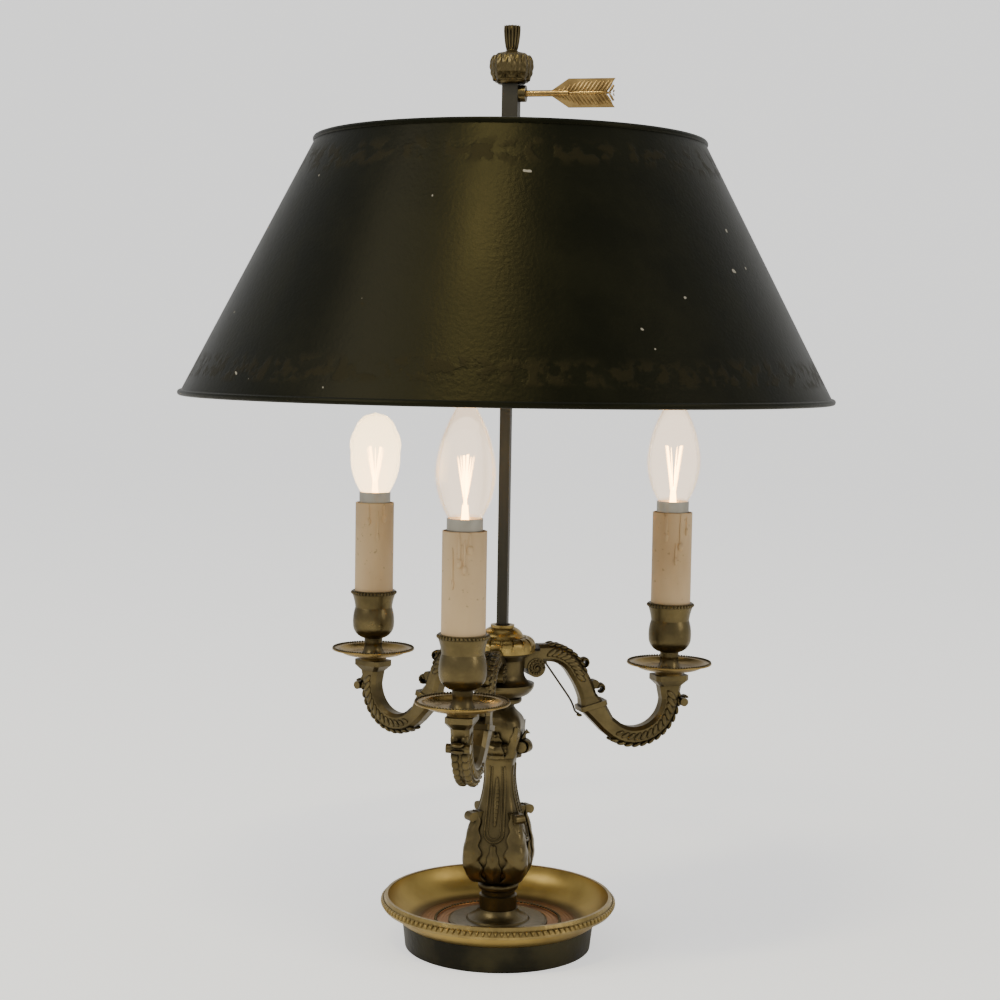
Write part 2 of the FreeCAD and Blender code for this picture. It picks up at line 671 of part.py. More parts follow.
def rounded_square(sketch, half, corner):
    """A square of half width half, with its corners rounded by the radius corner."""
    flat = half - corner
    swell = corner * (1 - cosine(45))
    return draw(sketch, [
        (-flat, -half), (flat, -half, -swell),
        (half, -flat), (half, flat, -swell),
        (flat, half), (-flat, half, -swell),
        (-half, flat), (-half, -flat, -swell),
    ])


def square_turning(label, low, stations):
    """A body lofted smoothly through rounded squares given as (height, half width, roundness)."""
    body = new_body(label)
    rings = []
    for number, (rise, half, roundness) in enumerate(stations):
        sketch = new_sketch(body, "XY_Plane", f"ring{number}", lift=low + rise)
        rings.append(rounded_square(sketch, sized(half), half * roundness))
    feature = loft(body, *rings)
    feature.Ruled = False
    return body


def bore(body, radius, low, length):
    hole = draw_circle(new_sketch(body, "XY_Plane", "bore", lift=low), radius)
    return pocket(body, hole, length, back=True)


# The baluster: four-sided and round-cornered, with a wide belly low down and a curled
# leaf at each corner.
baluster_top = level("baluster_top", ring_top + g.baluster_height)
slim = (g.baluster_waist + g.baluster_belly) / 2
tall = g.baluster_height
baluster = square_turning("stem_baluster", ring_top, [
    (0 * tall, g.baluster_foot, 0.9),
    (0.06 * tall, g.baluster_foot + (g.baluster_belly - g.baluster_foot) * 0.62, 0.6),
    (0.2 * tall, g.baluster_belly, 0.5),
    (0.42 * tall, slim + (g.baluster_belly - slim) * 0.5, 0.5),
    (0.6 * tall, slim * 0.88, 0.5),
    (0.76 * tall, g.baluster_waist * 1.09, 0.48),
    (0.88 * tall, g.baluster_waist, 0.48),
    (tall, g.baluster_head, 0.48),
])
leaf_height = ring_top + tall * 0.56


def corner_leaf(body):
    """A leaf up one corner that ends in a roll, made once and repeated round the stem."""
    leaf = new_sketch(body, "XZ_Plane", "leaf")
    draw(leaf, [
        (g.baluster_waist, ring_top + tall * 0.14),
        (g.baluster_belly * 1.18, ring_top + tall * 0.14, -tall * 0.02),
        (g.leaf_reach * 0.83, leaf_height - g.leaf_curl, tall * 0.01),
        (g.leaf_reach, leaf_height - g.leaf_curl, -g.leaf_curl * 0.9),
        (g.leaf_reach, leaf_height + g.leaf_curl),
        (g.baluster_waist, leaf_height + g.leaf_curl),
    ])
    return pad(body, leaf, g.leaf_width, both_sides=True)


leaf_pad = corner_leaf(baluster)
leaf_sketch = leaf_pad.Profile[0]
leaf_sketch.MapMode = "FlatFace"
leaf_sketch.AttachmentOffset = Placement(Vector(), Rotation(Vector(0, 1, 0), 45))
repeat(baluster, leaf_pad, 4)
bore(baluster, tie_hole, ring_top, tall)

# The capital of the stem: a bell with four drooping leaf curls.
capital_top = level("capital_top", baluster_top + g.capital_height)
cap_tall = g.capital_height
capital = square_turning("stem_capital", baluster_top, [
    (0 * cap_tall, g.baluster_head, 0.5),
    (0.33 * cap_tall, g.capital_belly * 0.9, 0.5),
    (0.6 * cap_tall, g.capital_belly, 0.5),
    (0.74 * cap_tall, g.capital_belly * 0.97, 0.6),
    (0.9 * cap_tall, g.capital_neck * 1.3, 0.9),
    (cap_tall, g.capital_neck, 0.98),
])
curl = new_sketch(capital, "XZ_Plane", "curl")
curl_height = baluster_top + cap_tall * 0.27
draw_circle(curl, g.capital_curl, g.capital_curl_reach, curl_height)
curl_pad = pad(capital, curl, g.capital_curl_width, both_sides=True)
repeat(capital, curl_pad, 4)
bore(capital, tie_hole, baluster_top, cap_tall)

# The hub: a collar ring, the drum that the arms are fixed to, and the gadrooned cap.
hub_low = level("hub_low", capital_top + g.collar_height)
collar_ring = capital_top + g.collar_neck
turned("hub_collar", [
    (tie_hole, capital_top),
    (g.capital_neck, capital_top),
    (g.capital_neck, collar_ring),
    (g.collar_radius, collar_ring, -g.collar_swell),
    (g.collar_radius, hub_low),
    (tie_hole, hub_low),
])
drum_top = level("drum_top", hub_low + g.drum_height)
edge_low = hub_low + g.drum_flare_rise
edge_top = edge_low + g.drum_flare_edge
drum = turned("hub_drum", [
    (tie_hole, hub_low),
    (g.collar_radius, hub_low, -g.drum_flare_edge),
    (g.drum_flare, edge_low),
    (g.drum_flare, edge_top, g.drum_flare_edge),
    (g.drum_radius, edge_top + g.drum_flare - g.drum_radius),
    (g.drum_radius, drum_top - g.drum_head_height - (g.drum_head - g.drum_radius)),
    (g.drum_head, drum_top - g.drum_head_height),
    (g.drum_head, drum_top),
    (tie_hole, drum_top),
])
stud_height = level("stud_height", drum_top - g.arm_lift - g.arm_depth * 0.62)
stud_holes = new_sketch(drum, "XZ_Plane", "stud_hole")
stud_holes.AttachmentSupport = [(origin_part(drum, "YZ_Plane"), "")]
draw_circle(stud_holes, g.stud_radius + g.stud_slack, 0, stud_height)
bind(stud_holes, "AttachmentOffset.Base.z", g.stud_inner - g.seat_gap)
stud_cut = pocket(drum, stud_holes, g.drum_flare, back=True)
repeat(drum, stud_cut, 3)
drum.Placement = Placement(Vector(), Rotation(Vector(0, 0, 1), ARM_ANGLES["right"]))

studs = new_body("arm_studs")
stud_circle = new_sketch(studs, "YZ_Plane", "stud", lift=g.stud_inner)
draw_circle(stud_circle, g.stud_radius, 0, stud_height)
studs.AllowCompound = True
repeat(studs, pad(studs, stud_circle, g.stud_length), 3)
studs.Placement = Placement(Vector(), Rotation(Vector(0, 0, 1), ARM_ANGLES["right"]))

cap_top = level("cap_top", drum_top + g.cap_height)
shoulder = drum_top + g.cap_shoulder_rise
hub_cap = turned("hub_cap", [
    (tie_hole, drum_top),
    (g.cap_radius, drum_top),
    (g.cap_radius, drum_top + g.gadroon_rise, -g.gadroon_groove),
    (g.cap_shoulder, shoulder),
    (g.cap_shoulder * 0.92, shoulder),
    (g.cap_shoulder * 0.84, shoulder + g.cap_height * 0.08, -g.cap_height * 0.05),
    (g.cap_crown, cap_top - g.cap_height * 0.1),
    (g.cap_crown, cap_top),
    (tie_hole, cap_top),
])
gadroon_groove = new_sketch(hub_cap, "YZ_Plane", "groove", lift=g.gadroon_inner)
draw(gadroon_groove, [
    (0, drum_top + g.gadroon_root),
    (g.gadroon_groove, shoulder + g.gadroon_root),
    (-g.gadroon_groove, shoulder + g.gadroon_root),
])
groove_cut = pocket(hub_cap, gadroon_groove, g.cap_radius, back=True)
repeat(hub_cap, groove_cut, GADROONS)

# The tie tube: one threaded tube from the base nut up into the cap.
rod_foot = level("rod_foot", drum_top + g.rod_start)
tube_low = nut_low - g.tie_below_nut
turned("tie_tube", [
    (g.tie_bore, tube_low), (g.tie_radius, tube_low), (g.tie_radius, rod_foot), (g.tie_bore, rod_foot),
])

# The arms. The middle line of the upper arm runs level, bends down, drops straight and
# sweeps down to the collar; the lower scroll hangs from the capital and turns back up to it.
arm_mid = level("arm_mid", drum_top - g.arm_lift)
arm_top = level("arm_top", drum_top - g.arm_head_drop)
bend_x = g.arm_start + g.arm_straight
drop_x = bend_x + g.arm_bend * sine(g.arm_drop_angle)
drop_z = arm_mid - g.arm_bend * (1 - cosine(g.arm_drop_angle))
sweep_x = drop_x + g.arm_drop * cosine(g.arm_drop_angle)
sweep_z = drop_z - g.arm_drop * sine(g.arm_drop_angle)
sweep_turn = g.arm_collar_angle - g.arm_drop_angle
collar_x = level(
    "collar_x", sweep_x + g.arm_sweep * (sine(g.arm_collar_angle) - sine(g.arm_drop_angle))
)
collar_z = level(
    "collar_z", sweep_z - g.arm_sweep * (cosine(g.arm_drop_angle) - cosine(g.arm_collar_angle))
)
scroll_x = level("scroll_x", g.arm_reach - g.scroll_radius)
scroll_z = level("scroll_z", arm_top - g.scroll_height)
past_bottom = g.scroll_turn - 90
tail_x = level("tail_x", scroll_x - g.scroll_radius * sine(past_bottom))
tail_z = level("tail_z", scroll_z - g.scroll_radius * cosine(past_bottom))
end_x = level("end_x", tail_x - g.scroll_tail * cosine(past_bottom))
end_z = level("end_z", tail_z + g.scroll_tail * sine(past_bottom))


# The collar sits a little past the end of the sweep.
band_x = level("band_x", collar_x + g.arm_collar_drop * cosine(g.arm_collar_angle))
band_z = level("band_z", collar_z - g.arm_collar_drop * sine(g.arm_collar_angle))


def pipe(body, name, section, path):
    spine = draw(new_sketch(body, "XZ_Plane", f"{name}_path"), path, closed=False)
    feature = body.newObject("PartDesign::AdditivePipe", f"{body.Label}_{name}")
    feature.Profile = section
    feature.Spine = (spine, [f"Edge{i + 1}" for i in range(len(path) - 1)])
    return feature


def tilted(body, name, x, z, angle):
    """A sketch square to the arm where its middle line passes x, z at this steepness."""
    sketch = new_sketch(body, "XY_Plane", name, tilt=angle, shift=x)
    bind(sketch, "AttachmentOffset.Base.z", z)
    return sketch


def candle_arm(label):
    body = new_body(label)
    half = g.arm_width / 2
    deep = g.arm_depth / 2
    # Root block and volute against the drum, under the cap.
    root_low = drum_top - g.volute_drop
    block = new_sketch(body, "XY_Plane", "root", lift=root_low)
    draw(block, rectangle(g.drum_radius - 2, g.arm_start + g.arm_edge, -half, half))
    pad(body, block, g.volute_drop - g.root_gap)
    scroll = new_sketch(body, "XZ_Plane", "volute")
    draw_circle(scroll, g.volute_radius, g.volute_reach, root_low)
    pad(body, scroll, g.volute_width, both_sides=True)
    # The upper arm, swept from an eight-sided section.
    section = new_sketch(body, "YZ_Plane", "upper", lift=g.arm_start)
    draw(section, [(y, x + arm_mid) for x, y in reversed(chamfered(-deep, deep, half, g.arm_edge))])
    pipe(body, "upper_arm", section, [
        (g.arm_start, arm_mid),
        (bend_x, arm_mid, g.arm_bend * (1 - cosine(g.arm_drop_angle / 2))),
        (drop_x, drop_z),
        (sweep_x, sweep_z, g.arm_sweep * (1 - cosine(sweep_turn / 2))),
        (collar_x, collar_z),
    ])
    # The collar, with a leaf flare above it and the mouth of the lower scroll below it.
    flare_x = collar_x - g.arm_collar_sheet * cosine(g.arm_collar_angle)
    flare_z = collar_z + g.arm_collar_sheet * sine(g.arm_collar_angle)
    collar_half = g.arm_collar_width / 2
    steep = g.arm_collar_angle - 90
    flare = tilted(body, "flare", flare_x, flare_z, steep)
    draw(flare, chamfered(-deep, deep, half, g.arm_edge))
    shoulder_low = tilted(body, "shoulder", band_x, band_z, steep)
    draw(shoulder_low, chamfered(-g.arm_collar_in * 0.85, g.arm_collar_out * 0.85, collar_half * 0.9, g.arm_edge))
    loft(body, flare, shoulder_low)
    band = tilted(body, "collar", band_x, band_z, steep)
    draw(band, chamfered(-g.arm_collar_in, g.arm_collar_out, collar_half, g.arm_edge / 2))
    pad(body, band, g.arm_collar_sheet, both_sides=True)
    low_half = g.scroll_depth / 2
    mouth = tilted(body, "mouth", band_x, band_z, steep)
    draw(mouth, chamfered(-g.arm_collar_in * 0.92, g.arm_collar_out * 0.92, collar_half * 0.9, g.arm_edge))
    throat = tilted(body, "throat", end_x, end_z, past_bottom - 90)
    draw(throat, chamfered(-low_half, low_half, half, g.arm_edge))
    loft(body, mouth, throat)
    # The lower scroll, swept down from under the capital.
    under = new_sketch(body, "XY_Plane", "under_neck", lift=scroll_z + g.scroll_height - g.head_edge)
    draw(under, chamfered(g.arm_reach - low_half, g.arm_reach + low_half, half, g.arm_edge))
    pipe(body, "lower_scroll", under, [
        (g.arm_reach, scroll_z + g.scroll_height - g.head_edge),
        (g.arm_reach, scroll_z, g.scroll_radius * (1 - cosine(g.scroll_turn / 2))),
        (tail_x, tail_z),
        (end_x, end_z),
    ])
    # Neck and capital.
    head_low = arm_top - g.head_edge
    neck_low = head_low - g.head_flare - g.neck_height
    neck = new_sketch(body, "XY_Plane", "neck_low", lift=neck_low)
    draw(neck, chamfered(g.arm_reach - low_half, g.arm_reach + low_half, half, g.arm_edge))
    neck_top = new_sketch(body, "XY_Plane", "neck_top", lift=head_low - g.head_flare)
    neck_deep = g.neck_depth / 2
    draw(neck_top, chamfered(g.arm_reach - neck_deep, g.arm_reach + neck_deep, g.neck_width / 2, g.arm_edge))
    loft(body, neck, neck_top)
    head_deep = g.head_depth / 2
    flare_top = new_sketch(body, "XY_Plane", "head", lift=head_low)
    draw(flare_top, chamfered(g.arm_reach - head_deep, g.arm_reach + head_deep, g.head_width / 2, g.arm_edge))
    neck_again = new_sketch(body, "XY_Plane", "neck_again", lift=head_low - g.head_flare)
    draw(neck_again, chamfered(g.arm_reach - neck_deep, g.arm_reach + neck_deep, g.neck_width / 2, g.arm_edge))
    loft(body, neck_again, flare_top)
    top = new_sketch(body, "XY_Plane", "head_edge", lift=head_low)
    draw(top, chamfered(g.arm_reach - head_deep, g.arm_reach + head_deep, g.head_width / 2, g.arm_edge))
    pad(body, top, g.head_edge)
    # The roll of the leaf on the outside, and the knob on the inside of the bend.
    roll = new_sketch(body, "XZ_Plane", "roll")
    draw_circle(roll, g.outer_curl, g.arm_reach + g.neck_depth / 2 + g.outer_curl / 3, arm_top - g.outer_curl_drop)
    pad(body, roll, g.outer_curl_width, both_sides=True)
    knob = new_sketch(body, "XZ_Plane", "knob")
    draw_circle(knob, g.knob_radius, collar_x + g.knob_radius * 1.3, collar_z + g.knob_rise)
    pad(body, knob, g.knob_radius * 2, both_sides=True)
    # The seat against the drum, the hole for the stud and the hole for the nipple.
    seat = body.newObject("PartDesign::Groove", f"{label}_seat")
    seat.Profile = draw(new_sketch(body, "XZ_Plane", "seat"), [
        (0, edge_low),
        (g.drum_flare + g.seat_gap, edge_low),
        (g.drum_flare + g.seat_gap, edge_top),
        (g.drum_radius + g.seat_gap, edge_top + g.drum_flare - g.drum_radius),
        (g.drum_radius + g.seat_gap, drum_top - g.drum_head_height - (g.drum_head - g.drum_radius)),
        (g.drum_head + g.seat_gap, drum_top - g.drum_head_height),
        (g.drum_head + g.seat_gap, drum_top),
        (0, drum_top),
    ])
    seat.ReferenceAxis = (seat.Profile[0], ["V_Axis"])
    seat.Angle = 360
    stud = new_sketch(body, "YZ_Plane", "stud")
    draw_circle(stud, g.stud_radius + g.stud_slack, 0, stud_height)
    pocket(body, stud, g.stud_inner + g.stud_length + g.seat_gap, back=True)
    nipple = new_sketch(body, "XY_Plane", "nipple", lift=arm_top)
    draw_circle(nipple, g.nipple_radius + g.tie_slack, g.arm_reach, 0)
    pocket(body, nipple, g.nipple_depth + g.seat_gap)
    return body


for side, angle in ARM_ANGLES.items():
    place(candle_arm(f"arm_{side}"), angle)


# On each arm: a drip pan, a candle cup on a nipple, a candle sleeve with a lampholder in
# it, and a bulb. All heights are absolute, and the bodies are carried out to the arms.
pan_floor_top = level("pan_floor_top", arm_top + g.pan_seat + g.pan_sheet)
cup_neck_top = pan_floor_top + g.cup_neck_height
cup_belly_at = cup_neck_top + g.cup_belly_rise
cup_waist_at = cup_belly_at + g.cup_waist_rise
cup_rim_at = cup_waist_at + g.cup_rim_rise
cup_top = level("cup_top", cup_rim_at + g.cup_rim_edge)
candle_foot = level("candle_foot", cup_top - g.candle_seat)
candle_top = level("candle_top", candle_foot + g.candle_height)
bulb_seat = level("bulb_seat", candle_top + g.bulb_cap_show)
bulb_cap_low = level("bulb_cap_low", bulb_seat - g.bulb_cap_height)
holder_low = level("holder_low", bulb_cap_low - g.holder_lift - g.holder_base)
nipple_hole = level("nipple_hole", g.nipple_radius + g.tie_slack)


def drip_pan(label):
    well = pan_floor_top + g.pan_well_rise
    rim = well + g.pan_rim_rise
    seat_top = arm_top + g.pan_seat
    return turned(label, [
        (nipple_hole, arm_top),
        (g.pan_seat_radius, arm_top),
        (g.pan_seat_radius * 0.9, seat_top),
        (g.pan_floor, seat_top, -g.pan_sheet),
        (g.pan_well, well - g.pan_sheet),
        (g.pan_radius, rim - g.pan_sheet, -g.pan_sheet * 0.4),
        (g.pan_radius, rim),
        (g.pan_well, well, g.pan_sheet),
        (g.pan_floor, pan_floor_top),
        (nipple_hole, pan_floor_top),
    ])


def candle_cup(label):
    wall = g.candle_radius + g.candle_slack
    return turned(label, [
        (nipple_hole, pan_floor_top),
        (g.cup_neck * 1.25, pan_floor_top, g.cup_neck * 0.12),
        (g.cup_neck, cup_neck_top - g.cup_neck_height * 0.3),
        (g.cup_neck, cup_neck_top, -g.cup_neck * 0.35),
        (g.cup_belly, cup_belly_at, -g.cup_neck * 0.1),
        (g.cup_waist, cup_waist_at, g.cup_neck * 0.05),
        (g.cup_rim, cup_rim_at),
        (g.cup_rim, cup_top),
        (wall, cup_top),
        (wall, candle_foot),
        (nipple_hole, candle_foot),
    ])


def candle_sleeve(label):
    inner = g.candle_radius - g.candle_wall
    return turned(label, [
        (inner, candle_foot),
        (g.candle_radius, candle_foot),
        (g.candle_radius, candle_top - g.candle_wall / 2, -g.candle_wall * 0.2),
        (g.candle_radius - g.candle_wall / 2, candle_top),
        (inner, candle_top),
    ])


def lamp_nipple(label):
    low = arm_top - g.nipple_depth
    return turned(label, [
        (g.nipple_bore, low),
        (g.nipple_radius, low),
        (g.nipple_radius, holder_low),
        (g.nipple_bore, holder_low),
    ])


def lampholder(label):
    """A brass cup with a contact post that the bulb's cap stands on."""
    floor = holder_low + g.holder_base
    top = candle_top - g.holder_drop
    inner = g.holder_radius - g.holder_wall
    return turned(label, [
        (0, holder_low),
        (g.holder_radius, holder_low),
        (g.holder_radius, top),
        (inner, top),
        (inner, floor),
        (g.stem_radius, floor),
        (g.stem_radius, bulb_cap_low),
        (0, bulb_cap_low),
    ])


cap_floor = level("cap_floor", bulb_seat - g.bulb_cap_height / 2)
socket = level("socket", g.bulb_neck + g.bulb_slack)


def bulb_cap(label):
    return turned(label, [
        (0, bulb_cap_low),
        (g.bulb_cap_radius, bulb_cap_low),
        (g.bulb_cap_radius, bulb_seat),
        (socket, bulb_seat),
        (socket, cap_floor),
        (0, cap_floor),
    ])


def glass(label, radius, height, profile):
    """A hollow bulb open at its neck. Profile corners are fractions of radius and height."""
    outer = [(g.bulb_neck, cap_floor)]
    inner = [(g.bulb_neck - g.bulb_wall, cap_floor)]
    swells = [None]
    for wide, high, swell in profile:
        reach = radius * wide if high else g.bulb_neck
        outer.append((reach, bulb_seat + height * high))
        inner.append((reach - g.bulb_wall, bulb_seat + height * high))
        swells.append(radius * swell if swell else None)
    outer.append((0, bulb_seat + height))
    inner.append((0, bulb_seat + height - g.bulb_wall))
    out = [at if swell is None else (*at, swell) for at, swell in zip(outer, swells + [None])]
    back = [at if swell is None else (*at, -swell) for at, swell in zip(inner[1:], swells)]
    return turned(label, out + back[::-1] + [inner[0]])


FLAME = [(0, 0, -0.11), (1, 0.34, -0.11), (0.46, 0.77, 0.03), (0.12, 0.96, 0)]
PEAR = [(0, 0, -0.14), (1, 0.5, -0.1), (0.86, 0.78, -0.06), (0.45, 0.96, 0)]


def filaments(label, high):
    """The glass stem of a bulb and its two glowing wires, joined at the top."""
    body = new_body(label)
    top = cap_floor + g.stem_height
    turn(body, [(0, cap_floor), (g.stem_radius, cap_floor), (g.stem_radius * 0.6, top), (0, top)])
    wire = new_sketch(body, "XZ_Plane", "wires")
    thick = g.filament_radius * 2
    low = top - g.stem_radius
    draw(wire, [
        (-g.stem_radius * 0.5, low), (g.stem_radius * 0.5, low), (g.filament_spread, top + high),
        (g.filament_spread - thick * 1.2, top + high), (0, low + thick * 2),
        (thick * 1.2 - g.filament_spread, top + high), (-g.filament_spread, top + high),
    ])
    pad(body, wire, thick, both_sides=True)
    return body


for side, angle in ARM_ANGLES.items():
    if side == "left":
        bulb = glass("bulb_left", g.round_bulb_radius, g.round_bulb_height, PEAR)
        wires = filaments("filaments_left", g.filament_height * 0.8)
    else:
        bulb = glass(f"bulb_{side}", g.bulb_radius, g.bulb_height, FLAME)
        wires = filaments(f"filaments_{side}", g.filament_height)
    stack = [
        drip_pan(f"drip_pan_{side}"),
        candle_cup(f"candle_cup_{side}"),
        candle_sleeve(f"candle_{side}"),
        lamp_nipple(f"nipple_{side}"),
        lampholder(f"lampholder_{side}"),
        bulb_cap(f"bulb_cap_{side}"),
        bulb,
        wires,
    ]
    for piece in stack:
        place(piece, angle, g.arm_reach)


# The square rod: a round spigot drops into the tie tube, and the finial closes the top.
def square(body, name, low, side):
    half = side / 2
    return draw(new_sketch(body, "XY_Plane", name, lift=low), rectangle(-half, half, -half, half))


rod = new_body("square_rod")
pad(rod, square(rod, "bar", rod_foot, g.rod_side), g.rod_height)
spigot = new_sketch(rod, "XY_Plane", "spigot", lift=rod_foot)
draw_circle(spigot, g.tie_bore - g.spigot_slack)
pad(rod, spigot, g.rod_spigot, down=True)

finial_foot = level("finial_foot", rod_foot + g.rod_height - g.finial_grip)
plume_root = finial_foot + g.finial_cup
plume_wide = plume_root + g.plume_rise * 0.45
finial_top = plume_root + g.plume_height
finial = turned("finial", [
    (0, finial_foot),
    (g.finial_base * 0.8, finial_foot),
    (g.finial_base, finial_foot + g.finial_cup * 0.12, -g.finial_base * 0.08),
    (g.finial_belly, finial_foot + g.finial_belly_rise, -g.finial_base * 0.1),
    (g.finial_belly * 0.88, plume_root),
    (g.plume_foot * 1.3, plume_root + g.plume_rise * 0.1),
    (g.plume_foot, plume_root + g.plume_rise * 0.2, -g.plume_foot * 0.12),
    (g.plume_belly, plume_wide + g.plume_rise * 0.3, -g.plume_foot * 0.3),
    (g.plume_foot * 0.35, finial_top - g.plume_foot * 0.1),
    (0, finial_top),
])
pocket(finial, square(finial, "grip", finial_foot, g.rod_side + g.spigot_slack), g.finial_grip, back=True)

# The slider: a square tube that carries the shade up and down the rod, clamped by the key.
slider_top = level("slider_top", finial_foot - g.slider_gap)
slider_low = level("slider_low", slider_top - g.slider_height)
key_height = level("key_height", slider_top - g.key_drop)
slider = new_body("slider")
pad(slider, square(slider, "outside", slider_low, g.slider_side), g.slider_height)
pocket(slider, square(slider, "inside", slider_low, g.rod_side + 2 * g.slider_slack), g.slider_height, back=True)
tapping = new_sketch(slider, "YZ_Plane", "tapping")
draw_circle(tapping, g.key_radius + g.key_slack, 0, key_height)
pocket(slider, tapping, g.slider_side, back=True)

boss = new_body("key_boss")
boss_sketch = new_sketch(boss, "YZ_Plane", "boss", lift=g.slider_side / 2)
draw_circle(boss_sketch, g.key_boss_radius, 0, key_height)
draw_circle(boss_sketch, g.key_radius + g.key_slack, 0, key_height)
pad(boss, boss_sketch, g.key_boss)

# The key, shaped as the feathered end of an arrow.
key = new_body("arrow_key")
shank_start = g.rod_side / 2 + g.key_slack
shank = new_sketch(key, "YZ_Plane", "shank", lift=shank_start)
draw_circle(shank, g.key_radius, 0, key_height)
pad(key, shank, g.key_shoulder - shank_start)
feathers = new_sketch(key, "XZ_Plane", "feathers")
draw(feathers, [
    (g.key_feathers, key_height - g.key_radius * 0.9),
    (g.key_shoulder, key_height - g.feather_height),
    (g.key_length, key_height - g.feather_height),
    (g.key_notch, key_height),
    (g.key_length, key_height + g.feather_height),
    (g.key_shoulder, key_height + g.feather_height),
    (g.key_feathers, key_height + g.key_radius * 0.9),
])
pad(key, feathers, g.feather_sheet, both_sides=True)

# The shade: a painted sheet cone held in the grooves of two wired hems. Points on the
# cone are given by how far they lie down the slope and how far out of the sheet.
top_x = g.shade_top_radius - g.hem_radius
low_x = g.shade_bottom_radius - g.hem_radius
shade_top = level("shade_top", slider_top - g.shade_below_slider)
top_z = level("hem_top", shade_top - g.hem_radius)
low_z = level("hem_low", shade_top - g.shade_height + g.hem_radius)
slope = level("slope", root((low_x - top_x) * (low_x - top_x) + (top_z - low_z) * (top_z - low_z)))
down_x = level("down_x", (low_x - top_x) / slope)
down_z = level("down_z", (low_z - top_z) / slope)


def on_shade(along, out):
    return (top_x + along * down_x - out * down_z, top_z + along * down_z + out * down_x)


def shade_ring(along, turn_back):
    """A hem: a round wire bead with a groove for the sheet."""
    groove = g.shade_sheet / 2 + g.sheet_slack
    mouth = turn_back * root(g.hem_radius * g.hem_radius - groove * groove)
    deep = turn_back * g.hem_radius * 0.3
    round_back = [
        on_shade(along + turn_back * g.hem_radius * cosine(degrees), g.hem_radius * sine(degrees))
        for degrees in (45, 80, 115, 150, 180, 210, 245, 280, 315)
    ]
    return [
        on_shade(along + mouth, groove),
        *round_back,
        on_shade(along + mouth, -groove),
        on_shade(along + deep, -groove),
        on_shade(along + deep, groove),
    ]


turned("shade_top_hem", shade_ring(sized(0), sized(1)))
turned("shade_bottom_hem", shade_ring(slope, sized(-1)))
held = g.hem_radius * 0.3 + g.sheet_slack
thin = g.shade_sheet / 2
turned("shade_cone", [
    on_shade(held, -thin), on_shade(held, thin), on_shade(slope - held, thin), on_shade(slope - held, -thin),
])

# The spider: a hub on the slider, three flat spokes and a band riveted inside the shade.
spider = new_body("shade_spider")
band_top = g.hem_radius + g.band_drop
band_low = band_top + g.band_height
turn(spider, [
    on_shade(band_top, -thin - g.band_sheet), on_shade(band_top, -thin),
    on_shade(band_low, -thin), on_shade(band_low, -thin - g.band_sheet),
], "band")
spoke_x, spoke_z = on_shade((band_top + band_low) / 2, -thin - g.band_sheet)
hub_foot = spoke_z - g.spider_hub_height / 2
hub_sketch = new_sketch(spider, "XY_Plane", "hub", lift=hub_foot)
draw_circle(hub_sketch, g.spider_hub)
pad(spider, hub_sketch, g.spider_hub_height)
spoke_sketch = new_sketch(spider, "XY_Plane", "spoke", lift=spoke_z - g.spoke_sheet / 2)
spoke_end = spoke_x - down_x / down_z * g.spoke_sheet / 2
draw(spoke_sketch, rectangle(g.spider_hub / 2, spoke_end, -g.spoke_width / 2, g.spoke_width / 2))
repeat(spider, pad(spider, spoke_sketch, g.spoke_sheet), 3)
pocket(spider, square(spider, "eye", hub_foot, g.slider_side), g.spider_hub_height, back=True)
spider.Placement = Placement(Vector(), Rotation(Vector(0, 0, 1), SPOKE_ANGLES[0]))

# The lead of the right arm: it leaves the underside of the arm, runs down in two bends
# and goes in again beside the collar, so both of its ends are held.
lead_x = [sized(g.lead_start)]
lead_z = [arm_mid - g.arm_depth / 2 - g.lead_gap - g.lead_radius * cosine(g.lead_steep)]
lead_x.append(lead_x[0] + g.lead_straight * cosine(g.lead_steep))
lead_z.append(lead_z[0] - g.lead_straight * sine(g.lead_steep))
lead_x.append(lead_x[1] + g.lead_bend * (sine(g.lead_drop_angle) - sine(g.lead_steep)))
lead_z.append(lead_z[1] - g.lead_bend * (cosine(g.lead_steep) - cosine(g.lead_drop_angle)))
lead_x.append(lead_x[2] + g.lead_hook * (sine(g.lead_drop_angle) - sine(g.lead_end_angle)))
lead_z.append(lead_z[2] - g.lead_hook * (cosine(g.lead_end_angle) - cosine(g.lead_drop_angle)))
lead = new_body("arm_lead_right")
lead_section = tilted(lead, "wire", lead_x[0], lead_z[0], g.lead_steep - 90)
draw_circle(lead_section, g.lead_radius)
upper_turn = (g.lead_drop_angle - g.lead_steep) / 2
lower_turn = (g.lead_drop_angle - g.lead_end_angle) / 2
pipe(lead, "lead", lead_section, [
    (lead_x[0], lead_z[0]),
    (lead_x[1], lead_z[1], g.lead_bend * (1 - cosine(upper_turn))),
    (lead_x[2], lead_z[2], -g.lead_hook * (1 - cosine(lower_turn))),
    (lead_x[3], lead_z[3]),
])
place(lead, ARM_ANGLES["right"])



# Every object must have built before anything is written.
doc.recompute()
for item in doc.Objects:
    if "Invalid" in item.State or "Error" in item.State:
        raise RuntimeError(f"{item.Label} did not build: {item.State}")
os.makedirs("parts", exist_ok=True)
for part in parts:
    if part.Shape.isNull() or not part.Shape.isValid():
        raise RuntimeError(f"{part.Label} has no valid solid")
    part.Shape.exportStep(os.path.join("parts", f"{part.Label}.step"))
print(f"{len(parts)} pieces written")
print(f"lead bends: {g.lead_bend.value} mm and {g.lead_hook.value} mm")
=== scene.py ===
import bmesh
import bpy
import math
from mathutils import Matrix, Vector


